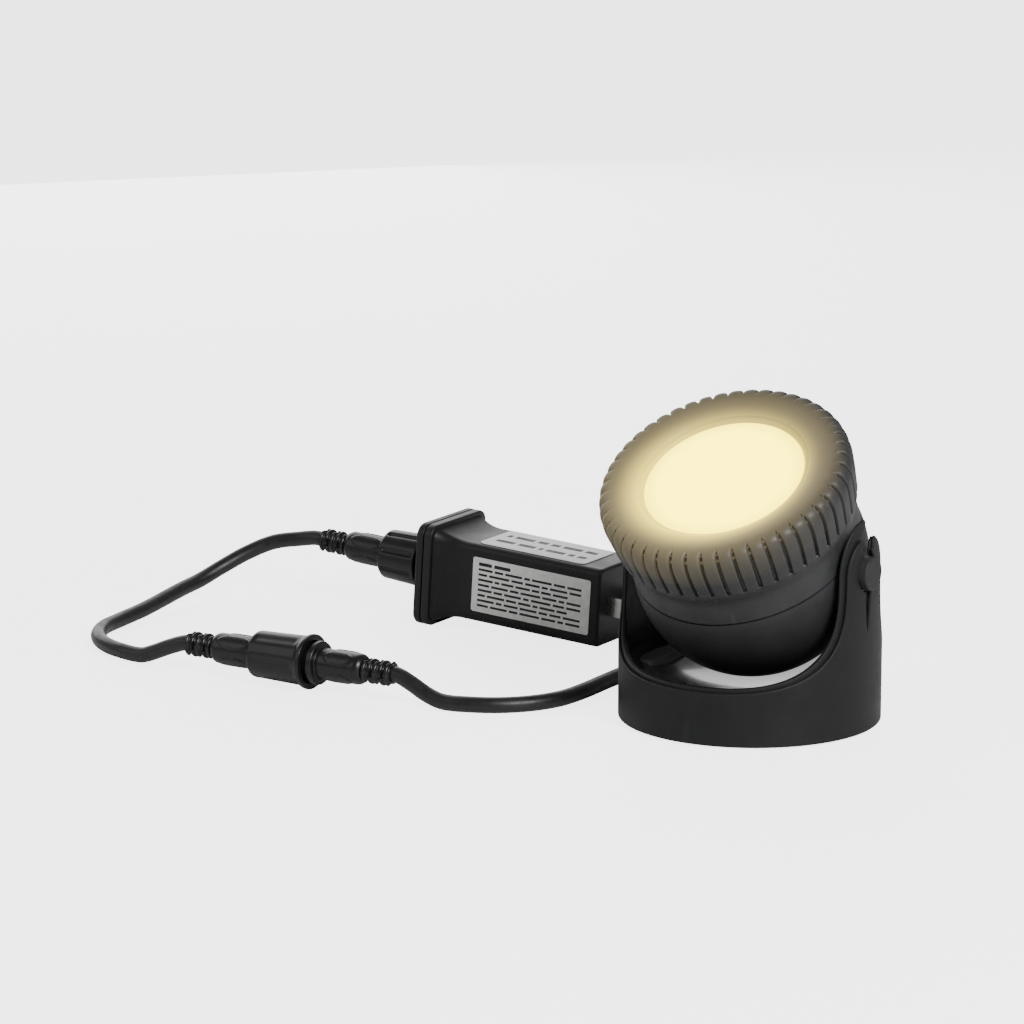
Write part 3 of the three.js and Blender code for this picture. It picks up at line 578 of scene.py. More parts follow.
def rim_height(s, half_width, saddle):
    """Height of the rim at arc length s from an arm's middle, out past the arm's widest point."""
    saddle_s = pi / 2 * BASE_R
    run = (saddle_s - s) / (saddle_s - half_width)
    along, up = RIM_POWERS
    return saddle + (PIVOT_Z - saddle) * (1 - max(0, 1 - run**along) ** (1 / up))


def keyhole(slit=None):
    """One side of the notch in an arm, from the bottom up: slit if it has one, seat, barb, slot."""
    neck = degrees(acos(SLOT_HALF / SEAT_R))
    barb = [(BARB["half"], PIVOT_Z + BARB["height"]), (SLOT_HALF, PIVOT_Z + BARB["height"] + 0.9)]
    if slit is None:
        return arc(0, PIVOT_Z, SEAT_R, -90, neck, 20) + barb
    foot = arc(0, PIVOT_Z - slit["depth"], slit["foot"], -90, 0, 3)
    return foot + arc(0, PIVOT_Z, SEAT_R, slit["mouth"], neck, 18) + barb


def crown(half_width, head, start):
    """One side of an arm's rounded top, from the slot's mouth outwards."""
    turns = [start + (pi / 2 - start) * k / 16 for k in range(17)]
    return [(half_width * sin(a), PIVOT_Z + head * cos(a)) for a in turns]


def flare(half_width, saddle):
    """One side of the rim below an arm's widest point, down to the middle of the saddle."""
    reach = pi / 2 * BASE_R - half_width
    runs = [half_width + reach * (k / RIM_STEPS) ** 3 for k in range(1, RIM_STEPS + 1)]
    return [(s, rim_height(s, half_width, saddle)) for s in runs]


def plain_side(layer, ear_height, slit=None):
    """One side of an arm, with a rounded ear beside the slot's mouth."""
    half_width = layer["half_width"]
    ear = crown(half_width, ear_height, asin(SLOT_HALF / half_width) + EAR_LIP["turn"])
    corner = (SLOT_HALF, ear[0][1] - EAR_LIP["drop"])
    return keyhole(slit) + [corner] + ear + flare(half_width, layer["saddle"])


def horned_side(layer, horn_height):
    """One side of an arm, with a horn that leans over the slot's mouth."""
    half_width = layer["half_width"]
    lean = [(SLOT_HALF, 11), (0.8, 14), (0.4, 15.2), (0.8, 16.2)]
    horn = [(s, PIVOT_Z + height) for s, height in lean]
    ear = crown(half_width, horn_height, asin(HORN_TIP / half_width))
    return keyhole() + horn + ear + flare(half_width, layer["saddle"])


def wall_outline(front, rear, saddle):
    """The unrolled wall, one full turn long: arc length along it, height up it."""
    left, right = ARM_MIDDLES
    left_arm = [(left - s, z) for s, z in rear[::-1]] + [(left + s, z) for s, z in front[1:]]
    right_arm = [(right - s, z) for s, z in front[::-1]] + [(right + s, z) for s, z in rear[1:]]
    rim = left_arm + right_arm[1:]
    overrun = 3
    start, end = rim[0][0] - overrun, rim[-1][0] + overrun
    return [(start, saddle)] + rim + [(end, saddle), (end, RIM_Z), (start, RIM_Z)]


def flat_plate(outline, thickness, bevel):
    """A plate with rounded edges in the XY plane, as a bmesh."""
    curve = bpy.data.curves.new("plate", "CURVE")
    curve.dimensions = "2D"
    curve.fill_mode = "BOTH"
    curve.extrude = thickness / 2 - bevel
    curve.bevel_depth = bevel
    curve.bevel_resolution = 2
    curve.offset = -bevel
    spline = curve.splines.new("POLY")
    spline.points.add(len(outline) - 1)
    for point, (x, y) in zip(spline.points, outline):
        point.co = (x, y, 0, 1)
    spline.use_cyclic_u = True
    holder = add_object("plate", curve)
    evaluated = holder.evaluated_get(bpy.context.evaluated_depsgraph_get())
    mesh = bpy.data.meshes.new_from_object(evaluated)
    plate = bmesh.new()
    plate.from_mesh(mesh)
    bmesh.ops.remove_doubles(plate, verts=plate.verts, dist=0.002)
    bpy.data.objects.remove(holder)
    bpy.data.curves.remove(curve)
    bpy.data.meshes.remove(mesh)
    return plate


def cut_plate(plate, axis, position, side=1, trim=False):
    """Adds a line of vertices across the plate, and clears what lies past it if trim is set."""
    normal = Vector((side, 0, 0)) if axis == 0 else Vector((0, side, 0))
    everything = plate.verts[:] + plate.edges[:] + plate.faces[:]
    bmesh.ops.bisect_plane(
        plate, geom=everything, plane_co=normal * side * position, plane_no=normal,
        clear_outer=trim, dist=1e-4,
    )


def inner_radius(z):
    return FOOT_R + (ARM_R - FOOT_R) * ease((z - WALL_FOOT) / (ARM_TOP - WALL_FOOT))


def wall_layer(outline, outside, inside, bevel):
    """Rolls a plate into one layer of the base's wall. inside is a function of height."""
    thickness = outside - inside(PIVOT_Z)
    plate = flat_plate(outline, thickness, bevel)
    start = -3 / 2 * pi * BASE_R
    turn = 2 * pi * BASE_R
    slices = 144
    for k in range(1, slices):
        cut_plate(plate, 0, start + turn * k / slices)
    for z in (WALL_FOOT, (WALL_FOOT + ARM_TOP) / 2, ARM_TOP):
        cut_plate(plate, 1, z)
    cut_plate(plate, 0, start, side=-1, trim=True)
    cut_plate(plate, 0, start + turn, trim=True)
    for vert in plate.verts:
        s, z, depth = vert.co
        share = depth / thickness + 0.5
        low = inside(z)
        radius = low + (outside - low) * share
        vert.co = (radius * cos(s / BASE_R), radius * sin(s / BASE_R), z)
    bmesh.ops.remove_doubles(plate, verts=plate.verts, dist=0.01)
    plate.verts.index_update()
    shape = [tuple(v.co) for v in plate.verts], [[v.index for v in f.verts] for f in plate.faces]
    plate.free()
    return shape


def base_floor():
    """A glossy dish that rises from its middle to the wall."""
    radii = [FOOT_R * (1 - k / 40) for k in range(41)]
    dish = [(r, FLOOR_Z + DISH_RISE * (r / FOOT_R) ** 2) for r in radii]
    under, edge = FLOOR_Z - FLOOR_T, FOOT_R + 0.5
    return lathe([(0, under), (edge, under), (edge, dish[0][1])] + dish, 160)


def ledge(side):
    """A flat step on the floor, below one arm."""
    ends = sorted((side * LEDGE["inner"], side * (FOOT_R - 0.3)))
    half_width = LEDGE["half_width"]
    return block((ends[0], -half_width, LEDGE["bottom"]), (ends[1], half_width, LEDGE["top"]))


def build_base():
    skin = plain_side(SKIN, SKIN_EAR, SLIT)
    around = wall_outline(skin, skin, SKIN["saddle"])
    outer = wall_layer(around, BASE_R, lambda z: SKIN_R, SKIN["bevel"])
    horn, ear = horned_side(LINER, LINER_HORN), plain_side(LINER, LINER_EAR)
    around = wall_outline(horn, ear, LINER["saddle"])
    inner = wall_layer(around, SKIN_R + LAYER_OVERLAP, inner_radius, LINER["bevel"])
    piece("base_wall", joined(outer, inner), MATERIAL["shell"], "base", stands_for=["base_shell"],
          sharp=50)
    piece("base_floor", base_floor(), MATERIAL["floor"], "base")
    piece("base_ledges_painted_lit", joined(ledge(1), ledge(-1)), MATERIAL["ledge"], "base",
          bevel=0.25)
    _, pad_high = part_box("base_pad")
    pad_r, top = pad_high.x / MM, pad_high.z / MM
    pad = rounded([(0, 0), (pad_r, 0, 0.3), (pad_r, top, 0.2), (0, top)])
    piece("ground_pad", lathe(pad, 128), MATERIAL["rubber"], "base", stands_for=["base_pad"])


# ---------------------------------------------------------------- head
RIBS = 48
BOWL_R = 35.9
BOWL_T = 2.9
PIN_R = 5.2
SEAM = 5.6  # height of the joint between housing and ring, above the pivot
RING_FRONT = 35.8
GROOVE = {"inner_r": 33.6, "foot": 18.3, "depth": 1.15, "scallop": 0.2, "front_scallop": 0.75}
LENS_R = 24.5
GLAND_TURN = radians(180 + 64)
GLAND = HEAD @ Matrix.Rotation(GLAND_TURN, 4, "X")


def ring_profile():
    outline = [
        (33.6, SEAM + 0.3),
        (35.5, SEAM + 0.3, 0.5),
        (35.5, 14, 2),
        (36.55, 17.4, 0.8),
        (36.6, 18.2, 0.3),
        (37.5, 18.6, 0.6),
        (39.0, 29, 4),
        (38.9, 32.2, 1.5),
        (37.9, 34.6, 1.4),
        (35.6, RING_FRONT, 2),
        (30, 35.1, 3),
        (26.6, 34.3, 0.7),
        (26.3, 33.7, 0.3),
        (25.2, 33.5, 0.4),
        (LENS_R, 32.5, 0.3),
        (32.8, 32.5),
        (32.8, 28.4),
        (33.6, 27.8),
    ]
    return rounded(outline, steps=6)


def rib_angles():
    """Column angles, closer together where the groove walls are."""
    half = (0.07, 0.1, 0.13, 0.16, 0.2, 0.27, 0.38)
    shares = (-0.5, *(-share for share in half[::-1]), 0, *half)
    pitch = 2 * pi / RIBS
    return [(i + share) * pitch for i in range(RIBS) for share in shares]


def groove_inset(angle, r, z):
    """Depth of the grip grooves between flat ribs, which round over into scallops at the front."""
    if r < GROOVE["inner_r"] or z < GROOVE["foot"]:
        return 0
    pitch = 2 * pi / RIBS
    offset = abs((angle / pitch + 0.5) % 1 - 0.5)
    fade = ease((r - 33.8) / 3.6) if z > 33 else 1
    groove = 1 - ease((offset - 0.065 * fade) / (0.03 + 0.06 * fade))
    scallop = 1 - sqrt(1 - (1 - 2 * offset) ** 2 * 0.97)
    rounding = ease((z - 26) / 8)
    scallop_depth = GROOVE["scallop"] + GROOVE["front_scallop"] * rounding
    start = ease((z - GROOVE["foot"]) / 0.5)
    depth = GROOVE["depth"] * groove + scallop_depth * scallop * (1 - 0.6 * groove)
    return depth * start * fade


def build_ring():
    profile = ring_profile()
    foot = next(i for i, (_, z) in enumerate(profile) if z > 18.4)
    corner = next(i for i, (_, z) in enumerate(profile) if z > 31)
    flank = dense(profile[foot : corner + 1], 1.2)[:-1]
    shape = turned(profile[:foot] + flank + dense(profile[corner:], 0.6), rib_angles(), groove_inset)
    piece("ribbed_ring", shape, MATERIAL["ring"], "ring", HEAD, ["retaining_ring"], 60)


def build_housing():
    """The bowl with its neck, and on it the two trunnions and the boss for the cable gland."""
    bowl = arc(0, 0, BOWL_R, -90, 8.8, 40)
    bowl[0] = (0, -BOWL_R)
    inner = arc(0, 0, BOWL_R - BOWL_T, -6, -90, 24)
    inner[-1] = (0, -BOWL_R + BOWL_T)
    neck = [(33.2, SEAM), (33.2, 26.4), (30.6, 26.4), (30.6, 4), (27, 4), (27, 1.6)]
    shell = lathe(bowl + neck + inner, 160)
    pin = lathe(rounded([(0, 34), (PIN_R, 34), (PIN_R, PIN_END, 0.7), (0, PIN_END)]), 64)
    sides = [Matrix.Rotation(side * pi / 2, 4, "Y") for side in (1, -1)]
    pins = [moved(pin, side) for side in sides]
    boss = rounded([(0, 33), (7.4, 33), (6.6, 36.4, 1.2), (6.6, 38.6, 0.6), (2.8, 38.6), (0, 38)])
    gland_boss = moved(lathe(boss, 64), Matrix.Rotation(GLAND_TURN, 4, "X"))
    piece("head_bowl", joined(shell, *pins, gland_boss), MATERIAL["housing"], "head", HEAD,
          ["head_housing"])


def build_gland_nut():
    """A hexagonal nut, narrowing towards the cable."""
    bore = 2.75
    profile = [(bore, 38.9), (6.4, 38.9), (6.4, 43.6), (5.2, 45.4), (bore, 45.4)]
    shape = lathe(profile, 6)
    piece("cable_gland_nut", shape, MATERIAL["connector"], "head", GLAND, ["gland_nut"],
          25, bevel=0.45)


def build_lens():
    bottom, top, flange_r = 29, 32, 32.2
    dome_r, dome_height, steps = 24.4, 1.6, 14
    flange = rounded([(0, bottom), (flange_r, bottom, 0.4), (flange_r, top, 0.4), (25, top, 1)])
    turns = [pi / 2 * k / steps for k in range(steps + 1)]
    dome = [(dome_r * cos(a), top + dome_height * sin(a)) for a in turns]
    dome[-1] = (0, top + dome_height)
    piece("glowing_lens", lathe(flange + dome, 128), MATERIAL["lens"], "head", HEAD,
          ["front_lens"])


# ---------------------------------------------------------------- connectors
# Drawn along +Z as the plug's cable leaves; the shoulder of the plug ends at z = 0.
SOCKET_FACE = 4.5
PLUG_R = 4.9
PLUG_GRIP = 18
SOCKET_GRIP = (22, 38)
RELIEF_RINGS = 5
RELIEF_PITCH = 2.1
RELIEF = RELIEF_RINGS * RELIEF_PITCH
PAD = {"half": 2.5, "height": 0.38, "knurl": 0.16, "knurl_turns": 5.2}
NOTCH = 0.75


def relief_outline(start):
    points = []
    for i in range(RELIEF_RINGS):
        z = start + i * RELIEF_PITCH
        points += [(3.1, z + 0.2, 0.3), (4, z + 0.7, 0.35), (4, z + 1.4, 0.35), (3.1, z + 1.9, 0.3)]
    tip = start + RELIEF
    return points + [(3.1, tip), (CABLE_R + 0.05, tip), (CABLE_R + 0.05, start - 1), (0, start - 1)]


def grip_inset(first, last):
    """Four oval pads with a diamond knurl stand proud of a moulded grip, and the strain relief's
    rings are notched in turn at the sides and at top and bottom."""
    middle = (first + last) / 2
    half = (last - first) / 2 - 2.6

    def inset(angle, r, z):
        if z > last:
            ring = int((z - last) / RELIEF_PITCH)
            side = abs(cos(angle + (pi / 2 if ring % 2 else 0)))
            return NOTCH * ease((side - 0.9) / 0.06) if r > 3.2 else 0
        offset = (angle / (pi / 2)) % 1 - 0.5
        sideways = offset * pi / 2 * PLUG_R
        across = sideways / PAD["half"]
        pad = 1 - ease((hypot(across, (z - middle) / half) - 0.88) / 0.14)
        if pad <= 0 or r < PLUG_R - 0.2:
            return 0
        turns = PAD["knurl_turns"]
        knurl = max(0, sin(turns * (sideways + z))) * max(0, sin(turns * (sideways - z)))
        return pad * (PAD["knurl"] * knurl - PAD["height"])

    return inset


def cable_end(nose, first, last):
    grip = rounded(nose + [(PLUG_R, first, 0.4), (PLUG_R, last - 1.2, 1.2), (PLUG_R - 1.1, last, 0.3)])
    profile = dense(grip, 0.35) + rounded(relief_outline(last), 3)
    return turned(profile, even_angles(120), grip_inset(first, last))


def plug():
    nose = [(0, -9), (4.1, -9), (4.1, -1.9), (6.5, -1.9), (6.5, 0)]
    return cable_end(nose, 0, PLUG_GRIP)


def socket_nose(thread_end):
    """The bore that takes the plug, and the threads outside it."""
    bore, root, crest, pitch = 4.5, 6.2, 6.6, 2.5
    bottom = SOCKET_FACE + 10
    outline = [(0, bottom), (bore, bottom), (bore, SOCKET_FACE), (root, SOCKET_FACE)]
    z = SOCKET_FACE + 1
    while z + 2 < thread_end:
        outline += [(root, z), (crest, z + 0.7), (root, z + 1.4)]
        z += pitch
    return outline + [(root, thread_end)]


def nut_profile(length, radius, rim, taper):
    """A captive nut, open towards -Z, with a raised rim at its mouth if rim isn't 0."""
    bore, neck, shoulder, top = 6.9, 5.7, 0.3, 2.2
    outline = [(bore, -length)]
    if rim:
        outline += [(radius + rim, -length, 0.3), (radius + rim, 1.2 - length, 0.5)]
        outline += [(radius, 2.4 - length, 0.6)]
    else:
        outline += [(radius, -length, 0.5)]
    outline += [(radius - taper, top, 1.3), (neck, top, 0.3), (neck, shoulder), (bore, shoulder)]
    return dense(rounded(outline, 5), 0.5)


def fluted(count, depth, half_share, first, last):
    """Straight grip flutes between two heights, with run-outs."""

    def inset(angle, r, z):
        if not first < z < last or r < 7.2:
            return 0
        offset = abs((angle * count / (2 * pi)) % 1 - 0.5)
        run_out = ease((z - first) / 0.8) * ease((last - z) / 0.8)
        return depth * (1 - ease(offset / half_share)) * run_out

    return inset


def o_ring():
    ring = arc(5.35, -3.2, 0.95, 0, 345, 23)
    return lathe(ring, 64)


def build_connector(name, place, nut, flutes):
    piece(f"{name}_cable_plug", plug(), MATERIAL["connector"], "base", place, [f"{name}_plug"])
    shape = turned(nut_profile(*nut), even_angles(168), fluted(*flutes))
    piece(f"{name}_grip_nut", shape, MATERIAL["connector"], f"{name}_nut", place, [f"{name}_nut"])
    piece(f"{name}_seal", o_ring(), MATERIAL["rubber"], "base", place, [f"{name}_oring"])


def build_coupler():
    build_connector("coupler", COUPLER, (18.5, 7.9, 0.8, 0.5), (6, 0.35, 0.34, -15.5, 0.8))
    nose = socket_nose(20) + [(6.9, 20, 0.3), (6.9, 21.8, 0.5)]
    shape = cable_end(nose, *SOCKET_GRIP)
    piece("coupler_cable_socket", shape, MATERIAL["connector"], "base",
          COUPLER @ Matrix.Rotation(pi, 4, "X"), ["coupler_socket"])


# ---------------------------------------------------------------- adapter
COVER_T = 2.8
CASE_GAP = 0.3


def box_ring(x, half, corner):
    return [(x, y, z) for y, z in rounded_square(half, half, corner)]


def case_shape():
    """The case, flared to its flange, as rows of distance, half width and corner radius."""
    rows = [(COVER_T + CASE_GAP, FLANGE_HALF - 0.25, 3.8), (COVER_T + CASE_GAP + 0.3, FLANGE_HALF, 4)]
    rows += [(FLANGE_T - 0.4, FLANGE_HALF, 4), (FLANGE_T - 0.1, FLANGE_HALF - 0.15, 3.9)]
    rows += [(FLANGE_T, FLANGE_HALF - 0.5, 3.8)]
    flare, steps = 11, 14
    for k in range(steps + 1):
        t = k / steps
        half = ADAPTER_HALF + 2.6 * (1 - t) ** 2.2
        rows.append((FLANGE_T + 0.05 + flare * t, half, 2.4 + 1.1 * (1 - t)))
    rows += [(ADAPTER_LEN - 1.2, ADAPTER_HALF, 2.4), (ADAPTER_LEN - 0.5, ADAPTER_HALF - 0.2, 2.3)]
    rows += [(ADAPTER_LEN - 0.1, ADAPTER_HALF - 0.6, 2.1), (ADAPTER_LEN, ADAPTER_HALF - 1.1, 1.8)]
    return loft([box_ring(*row) for row in rows])


def cover_shape():
    rows = [(0, FLANGE_HALF - 0.9, 3.4), (0.15, FLANGE_HALF - 0.45, 3.7), (0.6, FLANGE_HALF - 0.08, 4)]
    rows += [(1.0, FLANGE_HALF, 4), (COVER_T - 0.3, FLANGE_HALF, 4), (COVER_T, FLANGE_HALF - 0.25, 3.8)]
    return loft([box_ring(*row) for row in rows])


def label(length, width, corner, bars):
    """A printed label lying in the XY plane, its ink as thin bars on its paper."""
    paper_top, ink_top = 0.16, 0.185
    outline = rounded_square(length / 2, width / 2, corner, 5)
    paper = loft([[(x, y, z) for x, y in outline] for z in (0, paper_top)])
    ink = [block((x0, y0, paper_top), (x1, y1, ink_top)) for x0, x1, y0, y1 in bars]
    count = len(paper[1])
    return joined(paper, *ink), count


def broken_line(y, height, start, end, words, gap):
    """One printed line as bars of uneven length, in the order given."""
    total = sum(words) + gap * (len(words) - 1)
    scale = (end - start) / total
    bars, x = [], start
    for word in words:
        bars.append((x, x + word * scale, y - height / 2, y + height / 2))
        x += (word + gap) * scale
    return bars


def add_label(name, node, place, length, width, corner, bars):
    shape, paper_faces = label(length, width, corner, bars)
    obj = piece(name, shape, (MATERIAL["paper"], MATERIAL["ink"]), "base", place, [node])
    for face in obj.data.polygons[paper_faces:]:
        face.material_index = 1


def build_labels():
    """Two bold lines on the top label; a short line and eight fine ones on the side label."""
    bold = broken_line(3.6, 2.6, -17, 17, (1.2, 5, 2.6, 2.2, 5, 3), 1.0)
    bold += broken_line(-3.6, 2.6, -17, 17, (5, 4.6, 1, 5, 1.6, 2.2), 1.0)
    top = Matrix.Translation(Vector((40, 0, ADAPTER_HALF + 0.1)) * MM)
    add_label("timer_note", "timer_label", ADAPTER @ top, 40, 20.6, 2.2, bold)

    fine = broken_line(7.0, 1.1, -20, -8, (4, 5), 0.8)
    patterns = ((5, 3, 6, 2, 7, 4, 5), (3, 7, 4, 5, 2, 6, 4), (6, 2, 5, 6, 3, 4, 6), (4, 6, 3, 7, 5, 2, 5))
    for i in range(8):
        end = 19 - 5 * (i % 3 == 2)
        fine += broken_line(5.2 - 1.72 * i, 0.75, -20, end, patterns[i % 4], 0.8)
    side = Matrix.Translation(Vector((42.5, -ADAPTER_HALF - 0.1, 0)) * MM) @ Matrix.Rotation(pi / 2, 4, "X")
    add_label("rating_plate", "rating_label", ADAPTER @ side, 44.5, 18.2, 0.8, fine)


def build_button():
    """Stem, retaining collar and domed cap."""
    radius, collar, edge, top = 3.8, 4.6, 0.3, 2.4
    corner = 8.9
    profile = [(0, -4.5), (1.5, -4.5), (1.5, -3.9), (collar, -3.9), (collar, -3.1), (radius, -3.1)]
    turns = [pi / 2 * k / 10 for k in range(10)]
    profile += [(radius * cos(a), edge + (top - edge) * sin(a)) for a in turns]
    profile += [(0, top)]
    place = ADAPTER @ Matrix.Translation(Vector((0, -corner, corner)) * MM) @ TO_LEFT
    piece("timer_dome", lathe(profile, 64), MATERIAL["button"], "button", place, ["timer_button"])


def build_adapter():
    piece("adapter_body", case_shape(), MATERIAL["adapter"], "base", ADAPTER, ["adapter_case"],
          50)
    piece("flange_cover", cover_shape(), MATERIAL["adapter"], "base", ADAPTER, ["adapter_cover"],
          50)
    build_labels()
    build_button()
    build_connector("outlet", OUTLET, (12.6, 8.8, 0, 0.6), (8, 0.75, 0.2, -11.6, 1.2))
    nose = rounded(socket_nose(13.5) + [(7.7, 13.5, 0.3), (7.7, 18.2), (6, 18.2), (6, 21.6), (7.5, 21.6),
                                        (7.5, 23.4), (0, 23.4)])
    piece("outlet_neck", lathe(nose), MATERIAL["connector"], "base", OUTLET @ Matrix.Rotation(pi, 4, "X"),
          ["outlet_jack"])
    for blade in ("blade_left", "blade_right"):
        soften_edges(frame["nodes"][blade], 0.2, segments=2)


# ---------------------------------------------------------------- cables
GROUND = CABLE_R + 0.02
LANE_X = -54
FRONT_Y = joint_point("coupler_nut_spin").y / MM
BACK_Y = joint_point("outlet_nut_spin").y / MM
COUPLER_X = joint_point("coupler_nut_spin").x / MM
COUPLER_Z = joint_point("coupler_nut_spin").z / MM
LEFT_X = -231
DIP_Z = COUPLER_Z - 1.9  # where a cable starts down from the coupler to the ground
CABLE_SIDES = 24


def catmull(points, samples):
    """Points evenly spread along a centripetal Catmull-Rom curve."""
    knots = [Vector(p) for p in points]
    knots = [2 * knots[0] - knots[1]] + knots + [2 * knots[-1] - knots[-2]]
    fine, steps = [], 24
    for p0, p1, p2, p3 in zip(knots, knots[1:], knots[2:], knots[3:]):
        t1 = (p1 - p0).length ** 0.5
        t2 = t1 + (p2 - p1).length ** 0.5
        t3 = t2 + (p3 - p2).length ** 0.5
        for k in range(steps):
            t = t1 + (t2 - t1) * k / steps
            a1 = p0 * ((t1 - t) / t1) + p1 * (t / t1)
            a2 = p1 * ((t2 - t) / (t2 - t1)) + p2 * ((t - t1) / (t2 - t1))
            a3 = p2 * ((t3 - t) / (t3 - t2)) + p3 * ((t - t2) / (t3 - t2))
            b1 = a1 * ((t2 - t) / t2) + a2 * (t / t2)
            b2 = a2 * ((t3 - t) / (t3 - t1)) + a3 * ((t - t1) / (t3 - t1))
            fine.append(b1 * ((t2 - t) / (t2 - t1)) + b2 * ((t - t1) / (t2 - t1)))
    fine.append(knots[-2])
    lengths = [0]
    for a, b in zip(fine, fine[1:]):
        lengths.append(lengths[-1] + (b - a).length)
    result, i = [], 0
    for k in range(samples + 1):
        goal = lengths[-1] * k / samples
        while i < len(fine) - 2 and lengths[i + 1] < goal:
            i += 1
        span = lengths[i + 1] - lengths[i] or 1
        result.append(fine[i].lerp(fine[i + 1], (goal - lengths[i]) / span))
    return result


def tube(points, samples):
    """A round cable along the points, its section carried along without twisting."""
    path = catmull(points, samples)
    across = X_AXIS.cross(path[1] - path[0])
    if across.length < 0.1 * (path[1] - path[0]).length:
        across = Vector((0, 1, 0)).cross(path[1] - path[0])
    sections = []
    for i, centre in enumerate(path):
        along = (path[min(i + 1, samples)] - path[max(i - 1, 0)]).normalized()
        across = (across - along * across.dot(along)).normalized()
        other = along.cross(across)
        ring = [across * cos(a) + other * sin(a) for a in even_angles(CABLE_SIDES)]
        sections.append([tuple(centre + spoke * CABLE_R) for spoke in ring])
    return loft(sections)


def bend(centre_x, centre_y, radius, start, end, low=GROUND, high=GROUND):
    """A bend seen from above, eased from one height to another."""
    steps = 5
    flat = arc(centre_x, centre_y, radius, start, end, steps)
    return [(x, y, low + (high - low) * ease(i / steps)) for i, (x, y) in enumerate(flat)]


def on_adapter_axis(x):
    return tuple(ADAPTER @ (Vector((x, 0, 0)) * MM) / MM)


def build_lamp_cable():
    end = COUPLER_X + SOCKET_GRIP[1] + RELIEF
    turn = 30
    points = [(LANE_X, 38.3, GROUND), (LANE_X, 10, GROUND)]
    points += bend(LANE_X - turn, FRONT_Y + turn, turn, 0, -90)
    points += [(end + 12, FRONT_Y, 4), (end + 6, FRONT_Y, DIP_Z)]
    points += [(end + dx, FRONT_Y, COUPLER_Z) for dx in (1, -4, -10)]
    piece("lamp_lead", tube(points, 150), MATERIAL["cable"], "base", stands_for=["lamp_cable"])


def build_adapter_cable():
    start = COUPLER_X - PLUG_GRIP - RELIEF
    turn = 34
    outlet_end = -PLUG_BACK - PLUG_GRIP - RELIEF
    leaving = on_adapter_axis(outlet_end - 3)
    points = [(start + dx, FRONT_Y, COUPLER_Z) for dx in (10, 4, -1)]
    points += [(start - 7, FRONT_Y, DIP_Z), (start - 14, FRONT_Y, 4)]
    points += bend(LEFT_X + turn, FRONT_Y + turn, turn, -90, -180)
    points += [(LEFT_X, 6, 3.4)]
    points += bend(LEFT_X + turn, BACK_Y - turn, turn, 180, 105, 6, leaving[2] - 0.8)
    points += [leaving] + [on_adapter_axis(outlet_end + dx) for dx in (0, 6, 10)]
    piece("adapter_lead", tube(points, 200), MATERIAL["cable"], "base", stands_for=["adapter_cable"])


def build_flexible_cable():
    """The stretch from the gland to the ground, which on the lamp bends when the head tilts; here it is drawn
    once, for the head at rest.
    """
    def leaving(t):
        return tuple(GLAND @ (Vector((0, 0, t)) * MM) / MM)

    points = [leaving(44), leaving(52), (-2, 65, 53), (-11, 79, 42), (-26, 85, 25), (-41, 78, 10),
              (-50.5, 63, 3.6), (LANE_X, 48, GROUND), (LANE_X, 38.2, GROUND)]
    obj = piece("flexible_lead", tube(points, 120), MATERIAL["cable"], None,
                stands_for=["cable_flex", "cable_stub"])
    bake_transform(obj)


# ---------------------------------------------------------------- frame pieces that stay
def dress_frame_nodes():
    """Gives every piece that stays as the frame has it the finish of its material slot."""
    looks = frame_materials()
    slots = {part["node"]: part["material_slot"] for part in frame["record"]["subparts"]}
    for name, node in frame["nodes"].items():
        if node.hide_render:
            continue
        node.data.materials.clear()
        node.data.materials.append(looks[slots[name]])
        smooth(node.data, 30)


# ---------------------------------------------------------------- stage
# Light positions, targets and sizes are in metres, powers in watts.
LIGHTS = {
    "key": {"place": (0.85, -0.45, 0.7), "target": (0, 0, 0.05), "size": 0.5, "power": 15},
    "fill": {"place": (-0.7, -0.6, 0.5), "target": (-0.1, 0, 0.03), "size": 0.7, "power": 1.2},
    "back": {"place": (-0.75, 0.65, 0.45), "target": (0, 0, 0.05), "size": 1.1, "power": 6},
}
FLOOR_LIFT = 3.2
WORLD = {"light": 0.24, "to_camera": 4}


def soft_light(name, place, target, size, power):
    lamp = bpy.data.lights.new(name, "AREA")
    lamp.shape = "DISK"
    lamp.size = size
    lamp.energy = power
    obj = add_object(name, lamp)
    obj.location = place
    obj.rotation_euler = (Vector(target) - Vector(place)).to_track_quat("-Z", "Y").to_euler()


def seen_by_camera(tree):
    return tree.nodes.new("ShaderNodeLightPath").outputs["Is Camera Ray"]


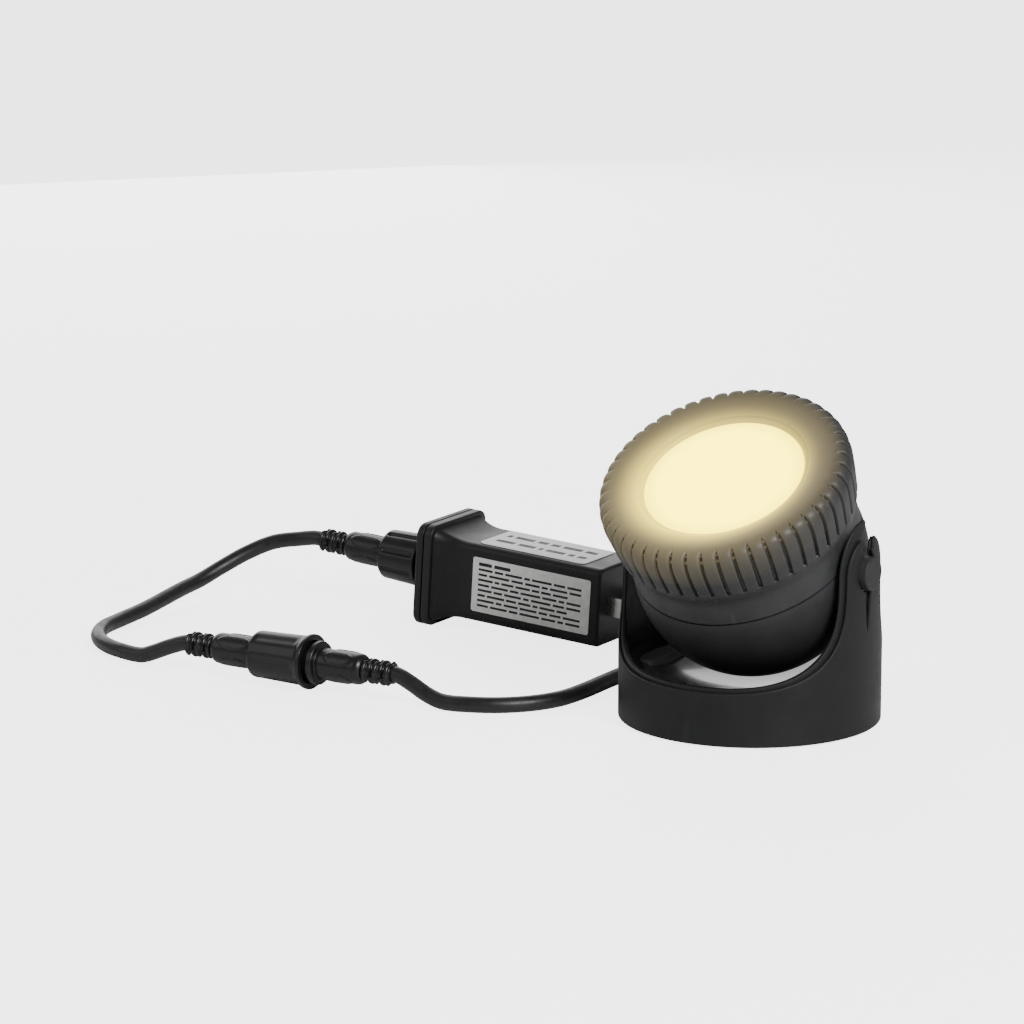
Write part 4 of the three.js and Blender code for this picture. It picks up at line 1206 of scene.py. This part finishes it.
def build_floor():
    """A pale floor, brighter to the camera than the light that it throws on the lamp."""
    half = 60
    verts = [(-half, -half, 0), (half, -half, 0), (half, half, 0), (-half, half, 0)]
    mesh = bpy.data.meshes.new("floor")
    mesh.from_pydata(verts, [], [(0, 1, 2, 3)])
    floor = add_object("floor", mesh)
    look = Nodes("pale_floor")
    look.set(Base_Color=(0.86, 0.86, 0.855, 1), Roughness=look.between(look.noise(40), 0.5, 0.6))
    lift = look.maths("MULTIPLY", seen_by_camera(look.tree), FLOOR_LIFT)
    look.set(Emission_Color=(1, 1, 1, 1), Emission_Strength=lift)
    mesh.materials.append(look.material)


def build_surroundings():
    """An even white world, also brighter to the camera, and three soft lights."""
    world = bpy.context.scene.world or bpy.data.worlds.new("studio")
    bpy.context.scene.world = world
    world.use_nodes = True
    tree = world.node_tree
    brightness = tree.nodes.new("ShaderNodeMapRange")
    brightness.inputs["To Min"].default_value = WORLD["light"]
    brightness.inputs["To Max"].default_value = WORLD["to_camera"]
    tree.links.new(seen_by_camera(tree), brightness.inputs["Value"])
    background = tree.nodes["Background"]
    background.inputs["Color"].default_value = (1, 1, 1, 1)
    tree.links.new(brightness.outputs[0], background.inputs["Strength"])
    for name, light in LIGHTS.items():
        soft_light(name, **light)


VIEW = {"azimuth": 28.5, "elevation": 12.8, "lens_mm": 165, "distance_m": 1.42}


def build_camera():
    """Looks at the lamp from the front right, framed on the whole object."""
    azimuth, elevation = radians(VIEW["azimuth"]), radians(VIEW["elevation"])
    back = Vector((sin(azimuth) * cos(elevation), -cos(azimuth) * cos(elevation), sin(elevation)))
    low, high = (Vector(corner) for corner in CAD_BOX)
    camera = bpy.data.cameras.new("camera")
    camera.lens = VIEW["lens_mm"]
    camera.clip_end = 200
    obj = add_object("camera", camera)
    obj.location = PIVOT + back * VIEW["distance_m"]
    aim = (low + high) / 2 - obj.location
    obj.rotation_euler = aim.to_track_quat("-Z", "Y").to_euler()
    bpy.context.scene.camera = obj


build_base()
build_housing()
build_ring()
build_gland_nut()
build_lens()
build_coupler()
build_adapter()
build_lamp_cable()
build_adapter_cable()
build_flexible_cable()
dress_frame_nodes()
build_floor()
build_surroundings()
build_camera()
